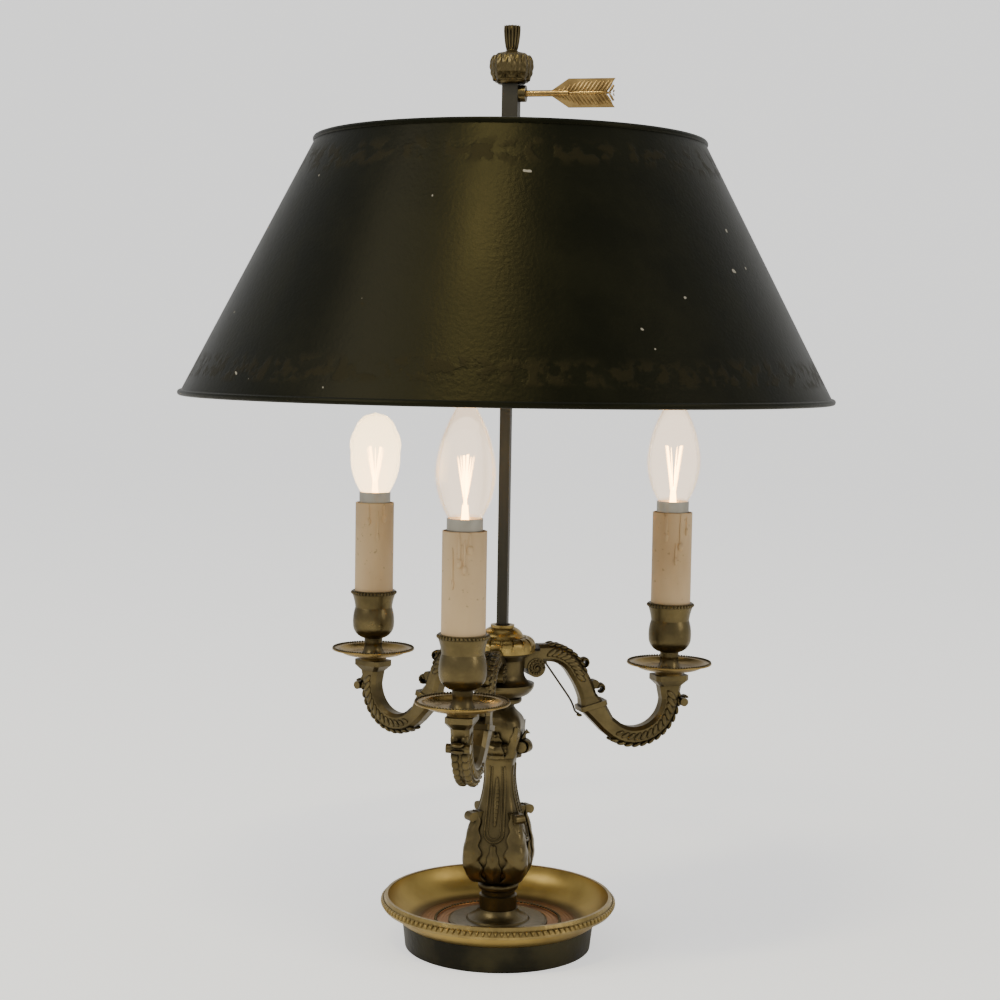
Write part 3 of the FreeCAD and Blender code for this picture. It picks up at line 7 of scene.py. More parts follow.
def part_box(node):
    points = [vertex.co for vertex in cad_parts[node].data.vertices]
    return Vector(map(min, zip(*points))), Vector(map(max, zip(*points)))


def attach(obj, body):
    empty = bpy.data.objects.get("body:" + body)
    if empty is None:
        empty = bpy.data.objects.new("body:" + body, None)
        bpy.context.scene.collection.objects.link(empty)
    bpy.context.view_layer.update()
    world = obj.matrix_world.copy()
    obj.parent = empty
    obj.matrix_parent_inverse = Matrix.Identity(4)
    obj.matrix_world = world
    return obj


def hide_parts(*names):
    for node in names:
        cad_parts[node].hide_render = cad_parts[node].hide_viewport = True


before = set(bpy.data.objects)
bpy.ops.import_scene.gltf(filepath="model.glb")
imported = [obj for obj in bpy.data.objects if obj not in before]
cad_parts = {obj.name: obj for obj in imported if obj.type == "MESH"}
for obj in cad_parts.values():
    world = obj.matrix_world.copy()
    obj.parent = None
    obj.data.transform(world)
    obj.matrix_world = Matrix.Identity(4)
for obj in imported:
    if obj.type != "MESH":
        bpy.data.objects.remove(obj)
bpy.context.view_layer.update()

# The camera stands a little above the middle of the lamp and 1.24 m from its rod, slightly to
# the right of the front arm, and rolled by about one degree as in the photograph.
CAMERA_TURN = 11.163
CAMERA_DISTANCE = 1.2381
CAMERA_HEIGHT = 0.3988
azimuth = math.radians(CAMERA_TURN)
ahead = Vector((-math.sin(azimuth), math.cos(azimuth), 0))
aside = Vector((math.cos(azimuth), math.sin(azimuth), 0))
pan = Matrix.Rotation(math.radians(0.141), 3, "Z")
ahead = pan @ ahead
aside = pan @ aside
tilt = Matrix.Rotation(math.radians(-4.512), 3, aside)
ahead = tilt @ ahead
upward = aside.cross(ahead)
roll = Matrix.Rotation(math.radians(-0.933), 3, ahead)
aside = roll @ aside
upward = roll @ upward
camera = bpy.data.objects.new("camera", bpy.data.cameras.new("camera"))
camera.data.lens = 67.23
camera.data.sensor_width = 36
place = Matrix((aside, upward, -ahead)).transposed().to_4x4()
place.translation = Vector(
    (math.sin(azimuth) * CAMERA_DISTANCE, -math.cos(azimuth) * CAMERA_DISTANCE, CAMERA_HEIGHT)
)
camera.matrix_world = place
bpy.context.scene.collection.objects.link(camera)
bpy.context.scene.camera = camera

# The lamp stands on a plain pale floor that runs up behind it, under soft lights: a broad
# one high on the left, a weaker one on the right, and a tall narrow one that draws the
# streak down the front of the shade.


class Wire:
    """A value inside a finish. Arithmetic on it adds the Math nodes."""

    def __init__(self, finish, socket):
        self.finish = finish
        self.socket = socket

    def math(self, operation, *values):
        return self.finish.node("Math", dict(enumerate(values)), operation=operation)

    def __add__(self, other):
        return self.math("ADD", self, other)

    def __radd__(self, other):
        return self.math("ADD", other, self)

    def __rsub__(self, other):
        return self.math("SUBTRACT", other, self)

    def __mul__(self, other):
        return self.math("MULTIPLY", self, other)

    def __rmul__(self, other):
        return self.math("MULTIPLY", other, self)


class Finish:
    """A material, built node by node."""

    def __init__(self, owner):
        owner.use_nodes = True
        self.owner = owner
        self.tree = owner.node_tree
        self.tree.nodes.clear()

    def node(self, kind, values=None, output=0, **settings):
        made = self.tree.nodes.new(f"ShaderNode{kind}")
        for name, setting in settings.items():
            setattr(made, name, setting)
        for name, value in (values or {}).items():
            if isinstance(value, Wire):
                self.tree.links.new(value.socket, made.inputs[name])
            else:
                made.inputs[name].default_value = value
        return Wire(self, made.outputs[output]) if made.outputs else None

    def here(self):
        return self.node("TexCoord", output="Object")

    def noise(self, scale, detail=3, stretch=(1, 1, 1), roughness=0.5):
        spot = self.node("Mapping", {"Vector": self.here(), "Scale": stretch})
        values = {"Vector": spot, "Scale": scale, "Detail": detail, "Roughness": roughness}
        return self.node("TexNoise", values)

    def ease(self, value, low, high):
        """0 where the value is at or under low, 1 at or over high, and smooth between."""
        values = {"Value": value, "From Min": low, "From Max": high}
        return self.node("MapRange", values, interpolation_type="SMOOTHSTEP")

    def mix(self, share, low, high):
        """The colour low where share is 0 and high where it is 1."""
        low = (*low, 1) if isinstance(low, tuple) else low
        high = (*high, 1) if isinstance(high, tuple) else high
        return self.node("Mix", {0: share, 6: low, 7: high}, output=2, data_type="RGBA")

    def axis(self, letter):
        """One coordinate, in metres: Z is the height above the table."""
        return self.node("SeparateXYZ", {"Vector": self.here()}, output=letter)

    def reach(self):
        """The distance from the rod."""
        x, y = self.axis("X"), self.axis("Y")
        return x.math("SQRT", x * x + y * y)

    def surface(self, height=None, depth=0.0005, **sockets):
        """Ends the finish. Sockets are given in lower case with underscores; height is a bump."""
        values = {}
        for name, value in sockets.items():
            title = name.replace("_", " ").title().replace("Ior", "IOR")
            values[title] = (*value, 1) if isinstance(value, tuple) else value
        if height is not None:
            bump = {"Height": height, "Strength": 1, "Distance": depth}
            values["Normal"] = self.node("Bump", bump)
        self.node("OutputMaterial", {"Surface": self.node("BsdfPrincipled", values)})
        return self.owner


def finish(name):
    return Finish(bpy.data.materials.new(name))


def put(name, shape, material, body=None, smooth=True):
    """Makes the bmesh an object with the material. On the lamp it rides on a body."""
    mesh = bpy.data.meshes.new(name)
    shape.to_mesh(mesh)
    shape.free()
    mesh.polygons.foreach_set("use_smooth", [smooth] * len(mesh.polygons))
    made = bpy.data.objects.new(name, mesh)
    mesh.materials.append(material)
    bpy.context.scene.collection.objects.link(made)
    if body:
        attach(made, body)
    return made


# The floor glows where the camera sees it, straight or through the bulbs, and much less
# where the metal mirrors it.
SEEN_GLOW = 0.8
MIRRORED_GLOW = 0.15
cloth = finish("pale_floor")
ray = cloth.node("LightPath").socket.node.outputs
straight = Wire(cloth, ray["Is Camera Ray"]) + Wire(cloth, ray["Is Transmission Ray"])
mirrored = Wire(cloth, ray["Is Glossy Ray"])
shared = cloth.ease(straight, 0, 1) * SEEN_GLOW + mirrored * MIRRORED_GLOW
pale = cloth.surface(
    base_color=cloth.mix(cloth.noise(3), (0.88, 0.88, 0.87), (0.92, 0.92, 0.91)),
    roughness=0.9,
    emission_color=cloth.mix(shared, (0, 0, 0), (1, 1, 1)),
    emission_strength=1.0,
)
HALF_FLOOR = 9
NEAR_THE_END = 8
sweep = bmesh.new()
bmesh.ops.create_grid(sweep, x_segments=1, y_segments=1, size=HALF_FLOOR)
far = [edge for edge in sweep.edges if all(end.co.y > NEAR_THE_END for end in edge.verts)]
wall = bmesh.ops.extrude_edge_only(sweep, edges=far)
raised = [part for part in wall["geom"] if isinstance(part, bmesh.types.BMVert)]
bmesh.ops.translate(sweep, vec=(0, 0, HALF_FLOOR), verts=raised)
bend = [
    edge
    for edge in sweep.edges
    if all(abs(end.co.z) < 0.01 and end.co.y > NEAR_THE_END for end in edge.verts)
]
bmesh.ops.bevel(
    sweep, geom=bend, offset=4, affect="EDGES", segments=16, profile=0.5, material=-1
)
backdrop = put("backdrop", sweep, pale)

room = bpy.data.worlds.new("room")
bpy.context.scene.world = room
air = Finish(room)
ray = air.node("LightPath").socket.node.outputs
straight = Wire(air, ray["Is Camera Ray"]) + Wire(air, ray["Is Transmission Ray"])
level = air.ease(straight, 0, 1) * 0.45 + 0.55
white = (1, 1, 1, 1)
air.node("OutputWorld", {"Surface": air.node("Background", {"Color": white, "Strength": level})})


def lamp(name, spot, aim, width, height, power, colour, lean=(0, 0, 1)):
    """A rectangle of light at spot that faces aim, with its height along lean."""
    back = (Vector(spot) - Vector(aim)).normalized()
    side = Vector(lean).cross(back).normalized()
    light = bpy.data.lights.new(name, "AREA")
    light.shape = "RECTANGLE"
    light.size = width
    light.size_y = height
    light.energy = power
    light.color = colour
    made = bpy.data.objects.new(name, light)
    facing = Matrix((side, back.cross(side), back)).transposed().to_4x4()
    made.matrix_world = Matrix.Translation(spot) @ facing
    bpy.context.scene.collection.objects.link(made)


middle_of_lamp = (0, 0, 0.3)
lamp(
    "broad_light", (-1.6, -1.6, 2.2), middle_of_lamp,
    width=1.6, height=1.6, power=26, colour=(1, 0.97, 0.92),
)
lamp(
    "side_light", (2.0, -0.6, 1.2), middle_of_lamp,
    width=0.8, height=1.4, power=7, colour=(1, 0.95, 0.88),
)
lamp(
    "streak_light", (-0.083, -1.261, 2.475), (0, 0, 0.45),
    width=0.15, height=0.85, power=20, colour=(1, 0.9, 0.5), lean=(0.413, 0.246, 0.17),
)

# The foot is a plain drum of dark bronze under the dish. The cord's bush sits in its back,
# and a steel plate with a green felt closes it below.


def dress(material, *nodes):
    """Gives the material to every slot of each node."""
    for node in nodes:
        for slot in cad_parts[node].material_slots:
            slot.material = material


dark = finish("foot_bronze")
cloud = dark.ease(dark.noise(28, 5), 0.35, 0.7)
foot_bronze = dark.surface(
    base_color=dark.mix(cloud, (0.012, 0.011, 0.006), (0.05, 0.043, 0.02)),
    metallic=0.75,
    roughness=0.36 + 0.2 * cloud,
    height=dark.noise(260, 2),
    depth=0.0002,
)
dress(foot_bronze, "foot_ring")
plain = finish("plain_brass")
tarnish = plain.ease(plain.noise(60, 4), 0.4, 0.7)
plain_brass = plain.surface(
    base_color=plain.mix(tarnish, (0.5, 0.36, 0.13), (0.26, 0.18, 0.07)),
    metallic=1.0,
    roughness=0.28 + 0.2 * tarnish,
)
dress(plain_brass, "inlet_bush", "arm_studs", "tie_tube", "base_nut", "base_washer")
zinc = finish("plate_steel")
plate_steel = zinc.surface(
    base_color=zinc.mix(zinc.noise(90), (0.3, 0.3, 0.3), (0.42, 0.42, 0.41)),
    metallic=1.0,
    roughness=0.45,
)
dress(plate_steel, "base_plate")
iron = finish("cast_ballast")
grain = iron.noise(400, 4)
cast_iron = iron.surface(
    base_color=iron.mix(grain, (0.03, 0.03, 0.03), (0.09, 0.085, 0.08)),
    roughness=0.8,
    height=grain,
    depth=0.0004,
)
dress(cast_iron, "ballast_disc")
baize = finish("green_felt")
pile = baize.noise(900, 5)
green_felt = baize.surface(
    base_color=baize.mix(pile, (0.012, 0.04, 0.018), (0.03, 0.085, 0.04)),
    roughness=1.0,
    height=pile,
    depth=0.0006,
)
dress(green_felt, "felt_pad")

# The dish is spun brass. Its floor is coppery and marked by turned rings, its wall is
# golden, and the colour is darker in the corner between them.
FLOOR_EDGE = (0.052, 0.056)
CORNER_INSIDE = (0.049, 0.054)
CORNER_OUTSIDE = (0.056, 0.063)
RING_RADIANS_PER_METRE = 2600.0
golden = finish("dish_brass")
reach = golden.reach()
spots = golden.ease(golden.noise(24, 6), 0.35, 0.9)
fine = golden.noise(8, 3, (1, 1, 12))
floor = 1 - golden.ease(reach, *FLOOR_EDGE)
wall_colour = golden.mix(spots, (0.5, 0.35, 0.1), (0.24, 0.16, 0.045))
floor_colour = golden.mix(spots, (0.36, 0.17, 0.06), (0.13, 0.06, 0.022))
corner = golden.ease(reach, *CORNER_INSIDE) * (1 - golden.ease(reach, *CORNER_OUTSIDE))
colour = golden.mix(floor, wall_colour, floor_colour)
colour = golden.mix(corner * 0.7, colour, (0.05, 0.032, 0.012))
rings = reach.math("SINE", reach * RING_RADIANS_PER_METRE)
gilt = golden.surface(
    base_color=colour,
    metallic=1.0,
    roughness=0.3 + 0.16 * spots + 0.06 * fine,
    height=rings * 0.25 * floor + spots,
    depth=0.0002,
)
dress(gilt, "base_dish", "floor_ring")

# The rim is a rolled band cast with a row of small pointed leaf tips, browned at random,
# darkened by painted shade in the hollows and rubbed bright on the tips.


def bronze_finish(name, scale, dull_and_shaded, rubbed, low, high):
    """Patinated bronze: dark in the hollows of its noise and rubbed where it stands out, with
    painted shade laid in the hollows of its shape.
    """
    made = finish(name)
    cloud = made.noise(scale, 6, roughness=0.6)
    # Ambient occlusion darkens the colour in the hollows of the shape: this is painted shade.
    unshaded = made.node("AmbientOcclusion", {"Distance": 0.005}, output="AO", samples=6)
    wear_and_shade = made.ease(cloud, low, high) * 0.55 + made.ease(unshaded, 0.55, 0.98) * 0.45
    pits = made.noise(scale * 9, 3)
    return made.surface(
        base_color=made.mix(wear_and_shade, dull_and_shaded, rubbed),
        metallic=0.9,
        roughness=0.42 - 0.18 * wear_and_shade,
        height=cloud * 0.5 + pits * 0.5,
        depth=0.0003,
    )


def all_round(shape, count):
    """Repeats the whole shape about the rod until there are count of it."""
    bmesh.ops.spin(
        shape, geom=shape.verts[:] + shape.edges[:] + shape.faces[:], cent=(0, 0, 0),
        axis=(0, 0, 1), angle=math.tau * (count - 1) / count, steps=count - 1, use_duplicate=True,
    )


bronze = bronze_finish(
    "aged_bronze", scale=40, dull_and_shaded=(0.014, 0.0105, 0.005), rubbed=(0.2, 0.152, 0.066),
    low=0.3, high=0.85,
)
rim_bronze = bronze_finish(
    "rim_bronze", scale=60, dull_and_shaded=(0.05, 0.034, 0.012), rubbed=(0.5, 0.36, 0.13),
    low=0.25, high=0.8,
)
dress(rim_bronze, "leaf_rim")
LEAF_TIPS = 123
TIP_FALL = math.radians(-82)
TIP_SUNK = 0.0001
rim_low, rim_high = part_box("leaf_rim")
tip_height = rim_low.z * 0.45 + rim_high.z * 0.55
tips = bmesh.new()
bmesh.ops.create_cone(
    tips, cap_ends=True, segments=3, radius1=0.0024, radius2=0.0011, depth=0.0012
)
bmesh.ops.scale(tips, vec=(0.85, 1.15, 1), verts=tips.verts)
bmesh.ops.rotate(tips, cent=(0, 0, 0), matrix=Matrix.Rotation(TIP_FALL, 3, "X"), verts=tips.verts)
bmesh.ops.translate(tips, vec=(0, rim_high.y - TIP_SUNK, tip_height), verts=tips.verts)
all_round(tips, LEAF_TIPS)
put("rim_leaf_tips", tips, rim_bronze, "lamp", smooth=False)

# The stem is cast bronze in four pieces: a round plinth, a ring, the four-sided baluster
# and its capital, all threaded on the tie tube inside.
dress(bronze, "stem_plinth", "stem_ring", "stem_baluster", "stem_capital", "hub_collar", "hub_drum")


def around(angle, reach, height, middle=Vector((0, 0))):
    """The point this far from the middle, in this direction."""
    return (middle.x + reach * math.cos(angle), middle.y + reach * math.sin(angle), height)


def skin(node, angle, height, skip=None):
    """How far the outside of a piece lies from the rod, in this direction. Heights inside
    skip are bridged, so that a leaf isn't thrown out by a curl that it lies over."""
    if skip and skip[0] < height < skip[1]:
        share = (height - skip[0]) / (skip[1] - skip[0])
        return (1 - share) * skin(node, angle, skip[0]) + share * skin(node, angle, skip[1])
    solid = bpy.data.objects.get(node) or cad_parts[node]
    out = Vector(around(angle, 1, 0))
    beyond = 0.3
    missed = 0.01
    hit, spot, normal, face = solid.ray_cast(out * beyond + Vector((0, 0, height)), -out)
    return Vector((spot.x, spot.y)).length if hit else missed


def join(shape, more):
    """Adds one bmesh to another and frees it."""
    mesh = bpy.data.meshes.new("joined")
    more.to_mesh(mesh)
    more.free()
    shape.from_mesh(mesh)
    bpy.data.meshes.remove(mesh)


def cast_leaf(shape, node, angle, low, high, width, swell, curl, lobes, point=0.6, skip=None):
    """Lays one leaf on the outside of a node, from its foot at low to its tip at high."""
    blade = bmesh.new()
    bmesh.ops.create_grid(blade, x_segments=12, y_segments=36, size=1)
    typical_reach = 0.02
    curl_start = 0.72
    for corner in blade.verts:
        across = corner.co.x
        along = (corner.co.y + 1) / 2
        # The outline: broad near the foot, lobed along the edges and pointed at the tip.
        belly = 0.5 + 0.5 * math.sin(math.pi * min(1, 0.25 + along))
        broad = width * belly * (1 - along ** 4) ** (0.5 * point)
        broad *= 1 + 0.13 * math.cos(math.tau * lobes * along)
        broad = max(broad, width * 0.06)
        height = low + (high - low) * along
        reach = skin(node, angle + broad * across / typical_reach, height, skip)
        # The relief: a crowned blade with slanting flutes, a middle rib and a curled tip.
        crown = swell * (1 - across * across) * (1 - 0.4 * along)
        flute = 0.22 * swell * math.cos(math.tau * (lobes * along - 0.9 * abs(across)))
        rib = 0.45 * swell * math.exp(-((across / 0.16) ** 2))
        tip = curl * max(0, (along - curl_start) / 0.28) ** 2
        reach += 0.0003 + crown + flute * (1 - across * across) + rib + tip
        corner.co = around(angle + broad * across / reach, reach, height - tip * 0.8 * along)
    bmesh.ops.smooth_vert(
        blade, verts=blade.verts, factor=0.5, use_axis_x=True, use_axis_y=True, use_axis_z=True
    )
    bmesh.ops.recalc_face_normals(blade, faces=blade.faces)
    bmesh.ops.solidify(blade, geom=blade.faces[:], thickness=0.0012)
    join(shape, blade)


def bead(shape, radius, spot, stretch=(1, 1, 1), facing=None):
    """Adds a ball of this radius, stretched along its axes and then turned by facing."""
    ball = bmesh.new()
    bmesh.ops.create_uvsphere(ball, u_segments=10, v_segments=7, radius=radius)
    bmesh.ops.scale(ball, vec=stretch, verts=ball.verts)
    if facing:
        bmesh.ops.rotate(ball, cent=(0, 0, 0), matrix=facing, verts=ball.verts)
    bmesh.ops.translate(ball, vec=spot, verts=ball.verts)
    join(shape, ball)


# Four tall leaves clothe the corners of the baluster, with tips that curl outward, and a
# smaller pointed leaf stands at the foot of each face between them.
CURL_HEIGHTS = (0.083, 0.0975)
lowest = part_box("stem_baluster")[0]
leaf_foot = lowest.z + 0.003
leaves = bmesh.new()
for quarter in range(4):
    corner = math.radians(45 + 90 * quarter)
    face = math.radians(90 * quarter)
    cast_leaf(
        leaves, "stem_baluster", corner, leaf_foot, lowest.z + 0.053,
        width=0.0092, swell=0.0016, curl=0.0036, lobes=5, point=0.35, skip=CURL_HEIGHTS,
    )
    cast_leaf(
        leaves, "stem_baluster", face, leaf_foot, lowest.z + 0.03,
        width=0.0062, swell=0.0012, curl=0.0012, lobes=3,
    )
    # A row of nine small grains runs up the middle of the tall leaf.
    for step in range(9):
        height = lowest.z + 0.008 + 0.0042 * step
        reach = skin("stem_baluster", corner, height, CURL_HEIGHTS) + 0.0024
        bead(leaves, 0.0011, around(corner, reach, height))
put("baluster_leaves", leaves, bronze, "lamp")

# On each face of the baluster a long panel is framed by two raised fillets that meet in a
# round below, and a slim tongue stands inside it.
FILLETS = {"outer": (0.0066, 0.0008), "inner": (0.0043, 0.0006)}
FILLET_BEADS = 72
ROUND_SHARE = 0.3
TONGUE_BEADS = 12
round_top = lowest.z + 0.037
panels = bmesh.new()
for quarter in range(4):
    face = math.radians(90 * quarter)
    for half_width, thickness in FILLETS.values():
        # From -1 at the top of the left side, through the round at 0, to 1 on the right.
        for step in range(FILLET_BEADS):
            part = step / (FILLET_BEADS - 1) * 2 - 1
            if abs(part) < ROUND_SHARE:
                turn = part / ROUND_SHARE * math.pi / 2
                side = half_width * math.sin(turn)
                height = round_top - half_width * (math.cos(turn) - 1) - half_width
                stretch = (1, 1, 1)
            else:
                side = math.copysign(half_width * (1 - 0.35 * (abs(part) - ROUND_SHARE)), part)
                height = round_top + 0.042 * (abs(part) - ROUND_SHARE) / 0.7
                stretch = (1, 1, 2.2)
            base = skin("stem_baluster", face, height)
            turned = face + math.atan2(side, base)
            proud = skin("stem_baluster", turned, height) + 0.0004
            reach = min(math.hypot(base, side), proud)
            bead(panels, thickness, around(turned, reach, height), stretch)
    for step in range(TONGUE_BEADS):
        height = lowest.z + 0.042 + 0.0026 * step
        reach = skin("stem_baluster", face, height)
        slim = 0.0012 + 0.0009 * math.sin(math.pi * step / (TONGUE_BEADS - 1))
        spin = Matrix.Rotation(face, 3, "Z")
        bead(panels, 1, around(face, reach, height), (0.0009, slim, 0.0024), spin)
put("baluster_panels", panels, bronze, "lamp")

# The capital is wrapped by eight upright leaves: tall ones on its corners, and shorter ones
# on its faces, under the curls.
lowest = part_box("stem_capital")[0]
crown = bmesh.new()
for number in range(8):
    tall = 0.026 if number % 2 else 0.021
    cast_leaf(
        crown, "stem_capital", math.radians(45 * number), lowest.z + 0.002, lowest.z + tall,
        width=0.0056, swell=0.0012, curl=0.0016, lobes=3,
    )
put("capital_leaves", crown, bronze, "lamp")

# A ring of ninety-six small pearls lies on the floor of the dish, along the outer edge of
# the raised ring there.
pearls = bmesh.new()
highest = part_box("floor_ring")[1]
bead(pearls, 0.0011, (highest.x - 0.0012, 0, highest.z), (1, 1, 0.7))
all_round(pearls, 96)
put("floor_pearls", pearls, bronze, "lamp")

# The cap over the hub is golden brass, cast with a ring of eighteen round gadroons that
# swell out over its edge.
cap_brass = bronze_finish(
    "cap_brass", scale=50, dull_and_shaded=(0.11, 0.075, 0.025), rubbed=(0.5, 0.36, 0.12),
    low=0.35, high=0.65,
)
dress(cap_brass, "hub_cap")
lowest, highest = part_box("hub_cap")
lobe_fall = Matrix.Rotation(math.radians(24), 3, "Y")
gadroons = bmesh.new()
bmesh.ops.create_uvsphere(gadroons, u_segments=14, v_segments=10, radius=1)
bmesh.ops.scale(gadroons, vec=(0.0072, 0.0036, 0.0044), verts=gadroons.verts)
bmesh.ops.rotate(gadroons, cent=(0, 0, 0), matrix=lobe_fall, verts=gadroons.verts)
bmesh.ops.translate(
    gadroons, vec=(highest.x - 0.0062, 0, lowest.z + 0.0052), verts=gadroons.verts
)
all_round(gadroons, 18)
put("cap_gadroons", gadroons, cap_brass, "lamp")

# Each arm is one bronze casting: a leaf of slanting lobes wraps its lower scroll, a shorter
# one lies along the bend, and a spiral volute ends it at the hub. The thin lead of the
# right-hand arm runs below its bend.
dress(bronze, "arm_front", "arm_right", "arm_left")
sleeve = finish("lead_sleeve")
weave = sleeve.noise(1200, 2)
lead_sleeve = sleeve.surface(
    base_color=sleeve.mix(weave, (0.02, 0.015, 0.008), (0.06, 0.045, 0.02)),
    roughness=0.6,
    height=weave,
    depth=0.0001,
)
dress(lead_sleeve, "arm_lead_right")
ARM_TURNS = {"front": -90, "right": 30, "left": 150}
SCROLL_MIDDLE = (0.0963, 0.1637)
BEND_MIDDLE = (0.031, 0.174)
VOLUTE_EYE = (0.0225, 0.1884)
VOLUTE_BEADS = 26
CURLED_TIPS = (((0.0585, 0.1905), -0.9), ((0.0705, 0.1725), -1.2), ((0.1335, 0.1605), 1.2))


def on_curve(middle, radius, angle):
    """A point in the arm's own plane, as its distance from the rod and its height."""
    return (middle[0] + radius * math.cos(angle), middle[1] + radius * math.sin(angle))


def lay_lobe(shape, spot, slope, lean, size, aside):
    """One leaf lobe beside the arm's plane, laid along the slope and leaning out of it."""
    facing = Matrix.Rotation(-slope - lean, 3, "Y")
    bead(shape, 1, (spot[0], aside, spot[1]), size, facing)


def turn_about_rod(shape, degrees):
    spin = Matrix.Rotation(math.radians(degrees), 3, "Z")
    bmesh.ops.rotate(shape, cent=(0, 0, 0), matrix=spin, verts=shape.verts)


for side, turn in ARM_TURNS.items():
    leaf = bmesh.new()
    for face in (-1, 1):
        # The leaf of the lower scroll, from under the drip pan round to the arm's collar.
        for step in range(13):
            bow = math.radians(4 - 10.2 * step)
            slope = bow - math.pi / 2
            small = 1 - 0.03 * step
            broad = (0.0052 * small, 0.0013, 0.0021 * small)
            edge = (0.0036, 0.0026, 0.0016)
            lay_lobe(leaf, on_curve(SCROLL_MIDDLE, 0.0257, bow), slope, 0.75, broad, face * 0.0056)
            lay_lobe(leaf, on_curve(SCROLL_MIDDLE, 0.0317, bow), slope, 0.35, edge, face * 0.0032)
        # The leaf of the bend near the hub.
        for step in range(9):
            bow = math.radians(84 - 8.6 * step)
            slope = bow - math.pi / 2
            broad = (0.0046, 0.0012, 0.0019)
            edge = (0.0033, 0.0024, 0.0014)
            lay_lobe(leaf, on_curve(BEND_MIDDLE, 0.0245, bow), slope, 0.7, broad, face * 0.0056)
            lay_lobe(leaf, on_curve(BEND_MIDDLE, 0.0297, bow), slope, 0.3, edge, face * 0.003)
        # The volute against the hub: a flat spiral of beads round a larger eye.
        for step in range(VOLUTE_BEADS):
            reach = 0.0056 * (1 - step / 30)
            spot = on_curve(VOLUTE_EYE, reach, math.radians(26 * step))
            bead(leaf, 0.0009, (spot[0], face * 0.0065, spot[1]))
        bead(leaf, 0.0015, (VOLUTE_EYE[0], face * 0.0066, VOLUTE_EYE[1]))
    # Three curled tips stand off the arm: two over the bend and one at the scroll.
    for start, slope in CURLED_TIPS:
        for step in range(7):
            bow = slope + 0.62 * step
            spot = on_curve(start, 0.0031 * (1 - step / 11), bow)
            lay_lobe(leaf, spot, bow, 1.57, (0.0022, 0.0042, 0.0012), 0)
    turn_about_rod(leaf, turn)
    put(f"arm_leaves_{side}", leaf, bronze, "lamp")

# A small bronze collar covers each end of the right-hand arm's lead, where it goes into
# the arm.
LEAD_ENDS = (((0.0306, 0.1915), -0.95), ((0.0562, 0.1538), -0.2))
ends = bmesh.new()
for spot, slope in LEAD_ENDS:
    lay_lobe(ends, spot, slope, 0, (0.0022, 0.0012, 0.0012), 0)
turn_about_rod(ends, ARM_TURNS["right"])
put("lead_collars", ends, bronze, "lamp")

# Each arm carries a spun drip pan and a turned candle cup, both browned bronze, the pans
# rubbed golden inside.


def three(kind):
    """The names of the front, right and left pieces of a kind."""
    return [f"{kind}_{side}" for side in ARM_TURNS]


pan_brass = bronze_finish(
    "pan_brass", scale=50, dull_and_shaded=(0.05, 0.034, 0.012), rubbed=(0.46, 0.31, 0.1),
    low=0.25, high=0.8,
)
dress(pan_brass, *three("drip_pan"))
dress(bronze, *three("candle_cup"))
dress(plain_brass, *three("nipple"), *three("lampholder"))

# The candle sleeves are cream card tubes under a skin of wax-coloured paint, browned and
# slightly mottled with age, with drips that stand proud of it near the top.
wax = finish("candle_wax")
stain = wax.ease(wax.noise(22, 5, (1, 1, 0.4)), 0.35, 0.75)
speck = wax.ease(wax.noise(300, 2), 0.66, 0.74)
cream = wax.mix(stain, (0.72, 0.52, 0.29), (0.54, 0.35, 0.17))
candle_wax = wax.surface(
    base_color=wax.mix(speck * 0.5, cream, (0.3, 0.19, 0.08)),
    roughness=0.5,
    height=wax.noise(70, 4),
    depth=0.0004,
)
dress(candle_wax, *three("candle"))
# Each drip: degrees from the camera's side, its start and end under the top, and its width.
DRIPS = {
    "front": (
        (-12, 0.0, 0.02, 1), (16, 0.0, 0.012, 1.1), (2, 0.004, 0.024, 0.8),
        (-30, 0.009, 0.033, 0.7),
    ),
    "right": (
        (-22, 0.0, 0.018, 1), (20, 0.0, 0.024, 1), (40, 0.002, 0.014, 0.8),
        (6, 0.02, 0.034, 0.7),
    ),
    "left": ((-14, 0.0, 0.014, 1), (14, 0.005, 0.025, 0.8), (34, 0.0, 0.012, 0.9)),
}
SLEEVE_SKIN = 0.0137
for side, runs in DRIPS.items():
    low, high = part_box(f"candle_{side}")
    middle = (low + high) / 2
    drips = bmesh.new()
    for sway, start, end, size in runs:
        towards = math.radians(CAMERA_TURN - 90 + sway)
        spot = middle + SLEEVE_SKIN * Vector((math.cos(towards), math.sin(towards), 0))
        tall = (end - start) / 2
        spin = Matrix.Rotation(towards, 3, "Z")
        run = (0.0009, 0.0011 * size, tall)
        drop = (0.0018, 0.0019 * size, 0.0031)
        bead(drips, 1, (spot.x, spot.y, high.z - start - tall), run, spin)
        bead(drips, 1, (spot.x, spot.y, high.z - end + 0.0015), drop, spin)
    put(f"candle_drips_{side}", drips, candle_wax, "lamp")

# The rim of each candle cup is beaded with forty grains, and the edge of each drip pan with
# ninety-two smaller ones.
CUP_GRAINS = 40
PAN_GRAINS = 92
for side in ARM_TURNS:
    low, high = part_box(f"candle_cup_{side}")
    pan_low, pan_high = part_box(f"drip_pan_{side}")
    middle = (low + high) / 2
    cup_edge = (high.x - low.x) / 2 + 0.0001
    pan_edge = (pan_high.x - pan_low.x) / 2 - 0.001
    edging = bmesh.new()
    for number in range(CUP_GRAINS):
        at = math.tau * number / CUP_GRAINS
        bead(edging, 0.00115, around(at, cup_edge, high.z - 0.0015, middle))
    for number in range(PAN_GRAINS):
        at = math.tau * number / PAN_GRAINS
        bead(edging, 0.00085, around(at, pan_edge, pan_high.z, middle))
    put(f"cup_beading_{side}", edging, bronze, "lamp")

